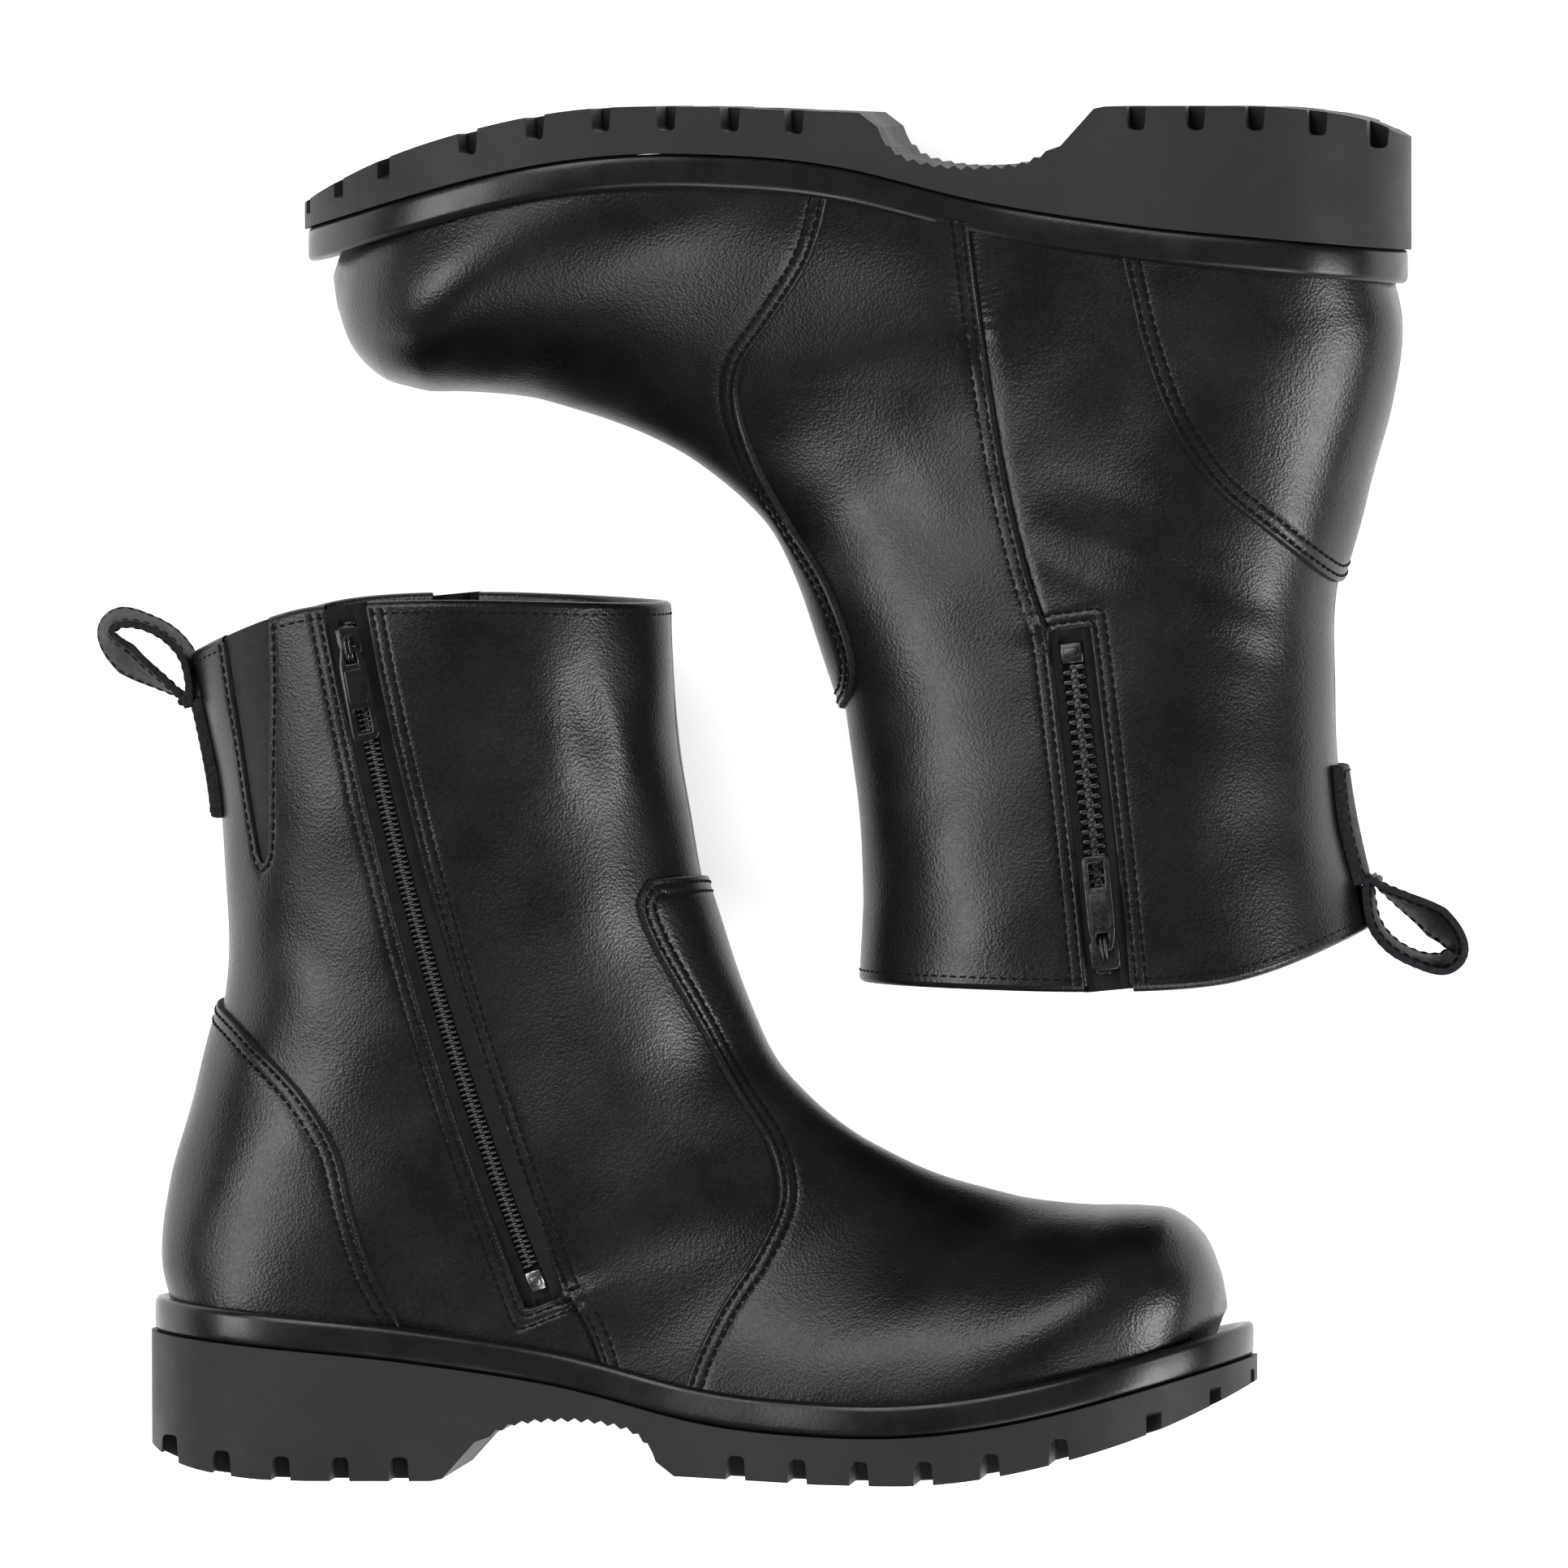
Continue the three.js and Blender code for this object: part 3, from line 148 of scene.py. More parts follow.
ZIPS = (LONG_ZIP, SHORT_ZIP)
OVERLAY_TOP = 2.1  # outer face of the vamp and the heel counter above the quarters' face
ZIP_SUNK = 0.6
SLOT_HALF = 5.5  # half the opening in the leather along a zip
SLOT_TAIL = 9.6  # how far the opening runs past the chain
ABOVE_CHAIN, BELOW_CHAIN = -30, 40  # how far past its ends a chain's line is carried on
WELT_BAND = 9.4
WELT_LIP = 3
RIM = 1.7  # radius of the folded rim


def cubic(p0, p1, p2, p3, u):
    """The Catmull-Rom curve from p1 to p2."""
    m1, m2 = (p2 - p0) / 2, (p3 - p1) / 2
    return (((2 * p1 - 2 * p2 + m1 + m2) * u + (3 * p2 - 3 * p1 - 2 * m1 - m2)) * u + m1) * u + p1


def section_at(t):
    t = np.clip(t, 0, len(SECTIONS) - 1.0001)
    i = np.floor(t).astype(int)
    corners = (SECTIONS[np.clip(i + k, 0, len(SECTIONS) - 1)] for k in (-1, 0, 1, 2))
    return cubic(*corners, (t - i)[:, None])


def power(v, n):
    return np.sign(v) * np.abs(v) ** (2 / n)


def base(t, a):
    """Points of the surface, as an array of x, y, z."""
    ax, az, bx, bz, outer, inner, shift, widest, n_front, n_back = section_at(t).T
    c, s = np.cos(a), np.sin(a)
    n = np.where(c >= 0, n_front, n_back)
    share = np.where(c >= 0, widest * (1 - power(c, n)), widest - (1 - widest) * power(c, n))
    y = shift + power(s, n) * np.where(s >= 0, outer, inner)
    return np.stack([ax + (bx - ax) * share, y, az + (bz - az) * share], 1)


def unit(v):
    return v / np.maximum(np.linalg.norm(v, axis=-1, keepdims=True), 1e-12)


def normal(t, a, step=0.02):
    t0, t1 = np.maximum(t - step, 0), np.minimum(t + step, TOE_T)
    return unit(np.cross(base(t1, a) - base(t0, a), base(t, a + step) - base(t, a - step)))


def spline(points, spacing=1.5):
    """A smooth line through points, with its own points about evenly spaced."""
    p = np.array(points, float)
    p = np.vstack([2 * p[0] - p[1], p, 2 * p[-1] - p[-2]])
    u = np.linspace(0, 1, 12, endpoint=False)[:, None]
    line = [cubic(*p[i - 1:i + 3], u) for i in range(1, len(p) - 2)]
    return resample(np.vstack(line + [p[-2]]), spacing)


def resample(line, spacing):
    length = np.concatenate([[0], np.cumsum(np.linalg.norm(np.diff(line, axis=0), axis=1))])
    at = np.linspace(0, length[-1], max(2, int(round(length[-1] / spacing)) + 1))
    return np.stack([np.interp(at, length, line[:, k]) for k in range(line.shape[1])], 1)


def height_on(line, x):
    return np.interp(x, line[:, 0], line[:, 1])


welt_top = spline(WELT_TOP)
top_line = spline(TOP_LINE)


def line_distance(points, line):
    """Signed side-view distance to a line, over 0 on its right, the way it grows and the place along."""
    best = np.full(len(points), np.inf)
    signed, along = np.zeros(len(points)), np.zeros(len(points))
    way = np.zeros((len(points), 2))
    for i in range(len(line) - 1):
        a, d = line[i], line[i + 1] - line[i]
        u = (points - a) @ d / (d @ d)
        u = np.clip(u, -np.inf if i == 0 else 0, np.inf if i == len(line) - 2 else 1)
        off = points - a - u[:, None] * d
        far = np.hypot(off[:, 0], off[:, 1])
        side = np.sign(off[:, 0] * d[1] - off[:, 1] * d[0])
        near = far < best
        best = np.where(near, far, best)
        signed = np.where(near, far * side, signed)
        along = np.where(near, i + u, along)
        way = np.where(near[:, None], off * (side / np.maximum(far, 1e-9))[:, None], way)
    return signed, way, along


def surface_distance(points, normals, line):
    """The distance measured on the surface instead of in the side view, and the place along."""
    signed, way, along = line_distance(points[:, [0, 2]], line)
    slope = np.sum(way * normals[:, [0, 2]], axis=1)
    return signed / np.sqrt(np.maximum(1 - slope ** 2, 0.06)), along


def on_surface(xz, side):
    """t and angle of a side-view point on one side of the upper."""
    t, k = np.meshgrid(np.linspace(0, 9, 181), np.linspace(0.03, 0.97, 95))
    t, a = t.ravel(), side * math.pi * k.ravel()
    for width in (0.05, 0.0025, 0.000125):
        p = base(t, a)
        i = np.argmin(np.hypot(p[:, 0] - xz[0], p[:, 2] - xz[1]))
        t0, a0 = t[i], a[i]
        dt, da = np.meshgrid(np.linspace(-width, width, 41), np.linspace(-width, width, 41))
        t, a = np.clip(t0 + dt.ravel(), 0, None), a0 + da.ravel()
    return np.array([t0]), np.array([a0])


# ---- Zip tracks ----
class Track:
    """The arc that a zip's chain follows. s runs down it, w across towards the toe, o out of the boot."""

    def __init__(self, side_name, spec):
        self.side = spec["side"]
        joint = JOINTS[f"{side_name}_{spec['name']}_slide"]
        self.centre = to_boot(side_name, joint["pos_m"])
        rotation = MATRICES[side_name][:3, :3]
        self.axis = np.linalg.det(rotation) * (np.array(joint["axis"]) @ rotation)
        found = [on_surface(p, self.side) for p in spec["points"]]
        ends = [base(t, a)[0] - ZIP_SUNK * normal(t, a)[0] for t, a in found]
        self.start = ends[0] - self.centre
        self.radius = np.linalg.norm(self.start)
        last = ends[2] - self.centre
        self.span = self.radius * math.acos(np.clip(self.start @ last / self.radius ** 2, -1, 1))
        middle = self.turned(self.start, self.span / 2)
        tangent = unit(np.cross(self.axis, middle))
        out = normal(*found[1])[0]
        out = unit(out - (out @ tangent) * tangent)
        self.tilt = (out @ unit(middle), out @ self.axis)

    def turned(self, arm, s):
        angle = s / self.radius
        k = self.axis
        return (arm * math.cos(angle) + np.cross(k, arm) * math.sin(angle)
                + k * (k @ arm) * (1 - math.cos(angle)))

    def frame(self, s):
        arm = self.turned(self.start, s)
        t = unit(np.cross(self.axis, arm))
        o = unit(unit(arm) * self.tilt[0] + self.axis * self.tilt[1])
        w = unit(np.cross(t, o))
        return self.centre + arm, t, w if w[0] > 0 else -w, o

    def bent(self, points):
        """Points drawn flat as s, w, o, each bent onto the arc."""
        places = []
        for s, w, o in points:
            origin, _, across, out = self.frame(s)
            places.append(origin + across * w + out * o)
        return np.array(places)

    def rigid(self, points, s0):
        origin, t, w, o = self.frame(s0)
        return origin + np.asarray(points) @ np.array([t, w, o])

    def side_line(self, low, high):
        """Its middle in the side view, and how far down the chain each point is."""
        at = np.linspace(low, high, 60)
        return np.array([self.frame(s)[0][[0, 2]] for s in at]), at

    def seam_line(self, seam):
        """From the middle of the opening over to the corner on its toe side, and on down the seam."""
        end = self.span + SLOT_TAIL
        centre, _ = self.side_line(ABOVE_CHAIN, end - 16)
        origin, _, across, _ = self.frame(end + 0.5)
        corner = (origin + across * (SLOT_HALF - 0.5))[[0, 2]]
        return np.vstack([centre, spline([centre[-1], corner, *seam])[2:]])


# ---- Mesh helpers ----
def linked(name, data):
    obj = bpy.data.objects.new(name, data)
    bpy.context.scene.collection.objects.link(obj)
    return obj


def read_mesh(mesh):
    return np.array([v.co for v in mesh.vertices]), [tuple(p.vertices) for p in mesh.polygons]


def applied(obj):
    """A mesh of the object with its modifiers applied."""
    evaluated = obj.evaluated_get(bpy.context.evaluated_depsgraph_get())
    return bpy.data.meshes.new_from_object(evaluated)


def new_object(name, verts, faces, finishes, smooth=True, face_slots=None):
    mesh = bpy.data.meshes.new(name)
    mesh.from_pydata(np.asarray(verts).tolist(), [], [list(map(int, f)) for f in faces])
    for finish in finishes:
        mesh.materials.append(MATERIALS[finish])
    if face_slots is not None:
        mesh.polygons.foreach_set("material_index", np.asarray(face_slots, np.int32))
    mesh.update()
    if smooth:
        mesh.polygons.foreach_set("use_smooth", [True] * len(mesh.polygons))
    return linked(name, mesh)


def assigned(obj, side, nodes, body="boot"):
    """The object rides on a body of its boot, and takes the place of some of the boot's CAD nodes."""
    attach(obj, f"{side}_{body}")
    if nodes:
        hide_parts(*(f"{side}_{node}" for node in nodes))
    return obj


def placed(side, name, points, faces, finishes, slot, nodes=(), body="boot", face_slots=None):
    """A piece drawn in a boot's own frame, its faces turned round for the mirrored boot."""
    if side == "right":
        faces = [tuple(f)[::-1] for f in faces]
    obj = new_object(f"{side}_{name}", to_row(side, points), faces, finishes, face_slots=face_slots)
    return assigned(obj, side, nodes, body)


METAL_CORNER, RUBBER_CORNER = 40, 30  # edges that turn by more degrees are drawn sharp


def sharpen(obj, degrees):
    bm = bmesh.new()
    bm.from_mesh(obj.data)
    limit = math.radians(degrees)
    for edge in bm.edges:
        edge.smooth = len(edge.link_faces) == 2 and edge.calc_face_angle(0) < limit
    bm.to_mesh(obj.data)
    bm.free()


def curve_mesh(lines, closed, **settings):
    """Verts and faces of a bevelled curve along lines of points."""
    curve = bpy.data.curves.new("curve", "CURVE")
    for key, value in settings.items():
        setattr(curve, key, value)
    for points in lines:
        line = curve.splines.new("POLY")
        line.points.add(len(points) - 1)
        line.points.foreach_set("co", [c for p in points for c in (*p, 1)])
        line.use_cyclic_u = closed
    obj = linked("curve", curve)
    evaluated = obj.evaluated_get(bpy.context.evaluated_depsgraph_get())
    verts, faces = read_mesh(evaluated.to_mesh())
    evaluated.to_mesh_clear()
    bpy.data.objects.remove(obj)
    return weld(verts, faces)


def plate(outlines, thickness, bevel, resolution=2):
    """A flat plate with rounded edges, its outlines in x and y, holes after the first."""
    flat = [[(x, y, 0) for x, y in outline] for outline in outlines]
    return curve_mesh(flat, True, dimensions="2D", fill_mode="BOTH", extrude=thickness / 2 - bevel,
                      bevel_depth=bevel, bevel_resolution=resolution, offset=-bevel)


def tube(points, radius, resolution=3):
    return curve_mesh([points], False, dimensions="3D", bevel_depth=radius, bevel_resolution=resolution,
                      use_fill_caps=True)


def weld(verts, faces, distance=1e-4):
    """Verts nearer than the distance made one, and faces that this leaves too small dropped."""
    keys, first = {}, np.zeros(len(verts), int)
    kept = []
    for i, key in enumerate(map(tuple, np.round(verts / distance).astype(np.int64))):
        if key not in keys:
            keys[key] = len(kept)
            kept.append(verts[i])
        first[i] = keys[key]
    faces = [tuple(dict.fromkeys(first[list(f)])) for f in faces]
    return np.array(kept), [f for f in faces if len(f) > 2]


def joined(parts):
    """Several pairs of verts and faces as one."""
    verts, faces, start = [], [], 0
    for v, f in parts:
        verts.append(np.asarray(v))
        faces += [tuple(i + start for i in face) for face in f]
        start += len(v)
    return np.vstack(verts), faces


def grid_faces(rows, count, closed=False):
    """Faces between neighbouring rows of as many points each, closed round each row or not."""
    return [(here + i, here + (i + 1) % count, here + count + (i + 1) % count, here + count + i)
            for here in range(0, (rows - 1) * count, count) for i in range(count if closed else count - 1)]


def rectangle(x0, x1, y0, y1):
    return [(x0, y0), (x1, y0), (x1, y1), (x0, y1)]


def rounded(outline, radius, steps=4):
    """An outline whose corners are arcs."""
    done = []
    for i, p in enumerate(outline):
        p = np.array(p, float)
        before, after = np.array(outline[i - 1], float), np.array(outline[(i + 1) % len(outline)], float)
        a, b = unit(before - p), unit(after - p)
        reach = min(radius, np.linalg.norm(before - p) / 2.2, np.linalg.norm(after - p) / 2.2)
        for u in np.linspace(0, 1, steps + 1):
            done.append(p + a * reach * (1 - u) ** 2 + b * reach * u ** 2)
    return [tuple(p) for p in done]


# ---- Materials ----
class Shader:
    """A material's node tree, built a node at a time."""

    def __init__(self, name):
        self.material = bpy.data.materials.new(name)
        self.material.use_nodes = True
        self.tree = self.material.node_tree
        self.bsdf = self.tree.nodes["Principled BSDF"]
        self.place = self.add("ShaderNodeTexCoord").outputs["Object"]

    def add(self, kind, inputs=None, **settings):
        node = self.tree.nodes.new(kind)
        for key, value in settings.items():
            setattr(node, key, value)
        for key, value in (inputs or {}).items():
            self.put(node.inputs[key], value)
        return node

    def put(self, socket, value):
        if isinstance(value, bpy.types.NodeSocket):
            self.tree.links.new(value, socket)
        else:
            socket.default_value = value

    def noise(self, scale, detail=4, roughness=0.6):
        node = self.add("ShaderNodeTexNoise", {"Vector": self.place, "Scale": scale, "Detail": detail,
                                               "Roughness": roughness})
        return node.outputs["Fac"]

    def cells(self, scale):
        node = self.add("ShaderNodeTexVoronoi", {"Vector": self.place, "Scale": scale})
        return node.outputs["Distance"]

    def stripes(self, scale, direction):
        node = self.add("ShaderNodeTexWave", {"Vector": self.place, "Scale": scale, "Distortion": 0.4},
                        bands_direction=direction)
        return node.outputs["Fac"]

    def ramp(self, value, low, high, dark, light):
        node = self.add("ShaderNodeMapRange", {"Value": value, "From Min": low, "From Max": high,
                                               "To Min": dark, "To Max": light})
        return node.outputs["Result"]

    def mix(self, share, first, second):
        node = self.add("ShaderNodeMix", data_type="RGBA")
        for socket, value in zip((node.inputs[0], node.inputs[6], node.inputs[7]), (share, first, second)):
            self.put(socket, value)
        return node.outputs[2]

    def blotched(self, scale, detail, low, high, first, second):
        """Two colours in blotches, where a noise lies under low or over high."""
        return self.mix(self.ramp(self.noise(scale, detail), low, high, 0, 1), first, second)

    def sum(self, first, second, operation="ADD"):
        return self.add("ShaderNodeMath", {0: first, 1: second}, operation=operation).outputs[0]

    def bump(self, height, strength, distance, under=None):
        inputs = {"Height": height, "Strength": strength, "Distance": distance}
        if under is not None:
            inputs["Normal"] = under
        return self.add("ShaderNodeBump", inputs).outputs["Normal"]

    def finish(self, **sockets):
        for name, value in sockets.items():
            self.put(self.bsdf.inputs[name.replace("_", " ")], value)
        return self.material


def grey(value, blue=1.08):
    return (value, value, value * blue, 1)


def leather_material():
    s = Shader("black_leather")
    patch = s.noise(38, 3)
    fine = s.noise(900, 2)
    colour = s.mix(s.ramp(patch, 0.35, 0.7, 0, 1), grey(0.0035), grey(0.007))
    grain = s.bump(s.cells(1250), 0.32, 0.0002)
    creased = s.bump(s.noise(420, 5, 0.7), 0.2, 0.0003, grain)
    rough = s.sum(s.ramp(patch, 0.3, 0.75, 0.26, 0.36), s.ramp(fine, 0.3, 0.7, -0.03, 0.05))
    return s.finish(Base_Color=colour, Roughness=rough, Normal=creased, Specular_IOR_Level=0.4)


def strap_material():
    s = Shader("dull_strap_leather")
    colour = s.blotched(60, 3, 0.35, 0.7, grey(0.004), grey(0.009))
    return s.finish(Base_Color=colour, Roughness=s.ramp(s.noise(300, 3), 0.3, 0.7, 0.5, 0.66),
                    Normal=s.bump(s.cells(1250), 0.5, 0.0002), Specular_IOR_Level=0.12)


def raw_edge_material():
    s = Shader("raw_leather_edge")
    colour = s.blotched(900, 3, 0.35, 0.7, grey(0.007, 1.2), grey(0.022, 1.3))
    return s.finish(Base_Color=colour, Roughness=0.85, Normal=s.bump(s.noise(2200, 3), 0.7, 0.0003),
                    Specular_IOR_Level=0.25)


def fabric_material(name, low, high, scale, rough=0.9, sheen=0.2):
    s = Shader(name)
    weave = s.sum(s.stripes(scale, "X"), s.stripes(scale, "Y"), "MULTIPLY")
    colour = s.blotched(300, 3, 0.3, 0.7, grey(low), grey(high))
    return s.finish(Base_Color=colour, Roughness=rough, Normal=s.bump(weave, 0.5, 0.0002),
                    Specular_IOR_Level=0.25, Sheen_Weight=sheen)


def rubber_material():
    s = Shader("matt_rubber")
    dust = s.ramp(s.cells(520), 0.0, 0.055, 1, 0)
    sparse = s.ramp(s.noise(160, 2), 0.56, 0.64, 0, 0.8)
    body = s.blotched(24, 4, 0.3, 0.75, grey(0.013), grey(0.02))
    colour = s.mix(s.sum(dust, sparse, "MULTIPLY"), body, grey(0.16))
    skin = s.bump(s.noise(1500, 4, 0.7), 0.4, 0.00022)
    edge = s.add("ShaderNodeBevel", {"Radius": 0.0006, "Normal": skin}, samples=4).outputs["Normal"]
    return s.finish(Base_Color=colour, Roughness=s.ramp(s.noise(60, 4), 0.3, 0.7, 0.48, 0.62), Normal=edge,
                    Specular_IOR_Level=0.3)


def welt_material():
    s = Shader("glossy_welt")
    colour = s.blotched(30, 4, 0.35, 0.7, grey(0.004), grey(0.008))
    return s.finish(Base_Color=colour, Roughness=s.ramp(s.noise(90, 4), 0.3, 0.75, 0.22, 0.36),
                    Normal=s.bump(s.noise(900, 4), 0.2, 0.0002), Specular_IOR_Level=0.4)


def thread_material():
    s = Shader("black_thread")
    return s.finish(Base_Color=s.mix(s.noise(700), grey(0.002), grey(0.006)), Roughness=0.75,
                    Normal=s.bump(s.stripes(2600, "DIAGONAL"), 0.5, 0.0001), Specular_IOR_Level=0.15)


def metal_material(name, low, high, rough, metallic=1.0, scratch=0.15):
    s = Shader(name)
    worn = s.blotched(500, 4, 0.35, 0.75, grey(low, 1.02), grey(high, 1.02))
    roughness = s.ramp(s.noise(1300, 3), 0.3, 0.7, rough, rough + 0.12)
    return s.finish(Base_Color=worn, Metallic=metallic, Roughness=roughness,
                    Normal=s.bump(s.noise(2600, 3), scratch, 0.00005))


def plastic_material(name, low, high, rough):
    s = Shader(name)
    return s.finish(Base_Color=s.mix(s.noise(200), grey(low), grey(high)), Roughness=rough,
                    Normal=s.bump(s.noise(1500), 0.15, 0.0001), Coat_Weight=0.3, Coat_Roughness=0.1)


def board_material(name, colour, darker):
    s = Shader(name)
    return s.finish(Base_Color=s.mix(s.noise(600, 6), darker, colour), Roughness=0.9,
                    Normal=s.bump(s.noise(1200, 6), 0.5, 0.0003))


def floor_material():
    s = Shader("pale_floor")
    return s.finish(Base_Color=s.mix(s.noise(3), (0.9, 0.9, 0.9, 1), (0.93, 0.93, 0.93, 1)), Roughness=0.9,
                    Specular_IOR_Level=0.1, Emission_Color=(1, 1, 1, 1), Emission_Strength=0.68)


MATERIALS = {
    "floor": floor_material(),
    "leather": leather_material(),
    "strap": strap_material(),
    "edge": raw_edge_material(),
    "suede": fabric_material("napped_elastic", 0.006, 0.015, 700, 0.95, 0.3),
    "lining": fabric_material("woven_lining", 0.012, 0.026, 500),
    "tape": fabric_material("zip_tape", 0.002, 0.006, 900, 0.75, 0.02),
    "rubber": rubber_material(),
    "welt": welt_material(),
    "thread": thread_material(),
    "steel": metal_material("spring_steel", 0.4, 0.55, 0.3),
    "silver_metal": metal_material("bright_nickel", 0.2, 0.32, 0.2, 1.0, 0.04),
    "gunmetal": metal_material("gunmetal_plate", 0.035, 0.085, 0.3),
    "black_metal": metal_material("black_lacquered_metal", 0.006, 0.012, 0.08, 0.0, 0.05),
    "coil": plastic_material("nylon_coil", 0.006, 0.012, 0.28),
    "board": board_material("fibre_board", (0.32, 0.24, 0.15, 1), (0.22, 0.16, 0.1, 1)),
    "stiffener": board_material("stiffener_sheet", (0.3, 0.27, 0.22, 1), (0.22, 0.2, 0.16, 1)),
}


# ---- Camera, light and floor ----
FRAME_WIDTH = 0.425  # what the camera sees across, at the boots
CAMERA_SHIFT = (0.001, 0.0017)
LENS = 500
SENSOR = 36
LAMP_SIZE = 0.7
LAMPS = {  # place and watts
    "key": ((-0.45, 0.7, 1.25), 8),
    "right": ((1.3, -0.42, 1.0), 19),
    "left": ((-1.15, 0.0, 1.0), 10),
    "front": ((0.3, -1.0, 1.1), 7),
}
WORLD_LIGHT = 0.12


def stage():
    scene = bpy.context.scene
    camera_data = bpy.data.cameras.new("camera")
    camera_data.lens = LENS
    camera_data.sensor_width = SENSOR
    camera_data.clip_end = 100
    camera = linked("camera", camera_data)
    camera.location = (cad_low + cad_high) / 2 + Vector((*CAMERA_SHIFT, FRAME_WIDTH * LENS / SENSOR))
    scene.camera = camera
    new_object("floor", [(x, y, 0) for x, y in rectangle(-4, 4, -4, 4)], [(0, 1, 2, 3)], ["floor"],
                        smooth=False)
    for name, (place, watts) in LAMPS.items():
        data = bpy.data.lights.new(name, "AREA")
        data.size = LAMP_SIZE
        data.energy = watts
        lamp = linked(name, data)
        lamp.location = place
        lamp.rotation_euler = Vector(place).to_track_quat("Z", "Y").to_euler()
    world = bpy.data.worlds.new("studio")
    world.use_nodes = True
    background = world.node_tree.nodes["Background"].inputs
    background["Color"].default_value = (1, 1, 1, 1)
    background["Strength"].default_value = WORLD_LIGHT
    scene.world = world
    scene.view_settings.view_transform = "Standard"


stage()

# ---- Skin: one fine grid of the upper, with the distances that shape its pieces ----
ROWS, FRONT, BACK = 300, 52, 76  # rows down the boot, and columns round each front and back quarter
BLEND = 16  # width across the middle in which the edges of the two sides blend
OFF_NOTCH, OFF_ZIP = -50, 60  # what the notch's and the openings' distances are on the other side of the boot


def columns_round():
    """Angles round the section, closer together where its outline turns fastest."""
    def eased(v, p):
        return v ** p / (v ** p + (1 - v) ** p)
    front = eased(np.linspace(0, 1, FRONT + 1), 1.1) * math.pi / 2
    back = math.pi / 2 * (1 + eased(np.linspace(0, 1, BACK + 1), 1.6))
    half = np.concatenate([front, back[1:]])
    return np.concatenate([-half[::-1], half[1:]])


def crossed_at(values, triangles, level):
    """Values over a level, none of them at zero, and which triangles the level crosses."""
    value = values - level
    value = np.where(np.abs(value) < 1e-6, 1e-6, value)
    above = value[triangles] > 0
    return value, above, above.sum(1) % 3 != 0


class Skin:
    """Triangles of the upper's surface. values has a row for each vertex and a column for each name."""

    def __init__(self, names, values, triangles):
        self.names, self.values, self.triangles = names, values, triangles

    def __getitem__(self, name):
        return self.values[:, self.names.index(name)]

    def with_value(self, name, column):
        return Skin(self.names + [name], np.column_stack([self.values, column]), self.triangles)

    def split(self, name, level):
        """The same surface with an edge wherever the named value crosses the level."""
        value, above, odd = crossed_at(self[name], self.triangles, level)
        mixed, kept = self.triangles[odd], self.triangles[~odd]
        if len(mixed) == 0:
            return self
        up = above[odd]
        lone = np.where(up.sum(1)[:, None] == 1, up, ~up).argmax(1)
        turn = (lone[:, None] + np.arange(3)) % 3
        a, b, c = np.take_along_axis(mixed, turn, 1).T
        edges = np.sort(np.concatenate([np.stack([a, b], 1), np.stack([a, c], 1)]), 1)
        unique, index = np.unique(edges, axis=0, return_inverse=True)
        v0, v1 = value[unique[:, 0]], value[unique[:, 1]]
        share = (v0 / (v0 - v1))[:, None]
        fresh = self.values[unique[:, 0]] * (1 - share) + self.values[unique[:, 1]] * share
        fresh[:, self.names.index(name)] = level
        index = index.ravel() + len(self.values)
        ab, ac = index[:len(a)], index[len(a):]
        added = np.concatenate([np.stack(corners, 1) for corners in ((a, ab, ac), (ab, b, c), (ab, c, ac))])
        return Skin(self.names, np.vstack([self.values, fresh]), np.vstack([kept, added]))

    def keep(self, name, low):
        """Only the triangles over a level that the surface was split at, without unused vertices."""
        middle = self[name][self.triangles].mean(1)
        tri = self.triangles[middle > low]
        used, index = np.unique(tri, return_inverse=True)
        return Skin(self.names, self.values[used], index.reshape(-1, 3))

    def cut(self, name, levels):
        """Cut off below the first level, with edges at the others."""
        found = self.split(name, levels[0]).keep(name, levels[0])
        for level in levels[1:]:
            found = found.split(name, level)
        return found


def grid_corners(rows, columns):
    """The four corners of every cell of a grid: upper left, lower left, upper right, lower right."""
    index = np.arange(rows * columns).reshape(rows, columns)
    return index[:-1, :-1].ravel(), index[1:, :-1].ravel(), index[:-1, 1:].ravel(), index[1:, 1:].ravel()


def notch_field(points, normals):
    """Over 0 inside the V-shaped notch behind the long zip."""
    rear, front = (surface_distance(points, normals, spline(line))[0] for line in (NOTCH_REAR, NOTCH_FRONT))
    return np.where(points[:, 1] < 0, np.minimum(rear, -front), OFF_NOTCH)


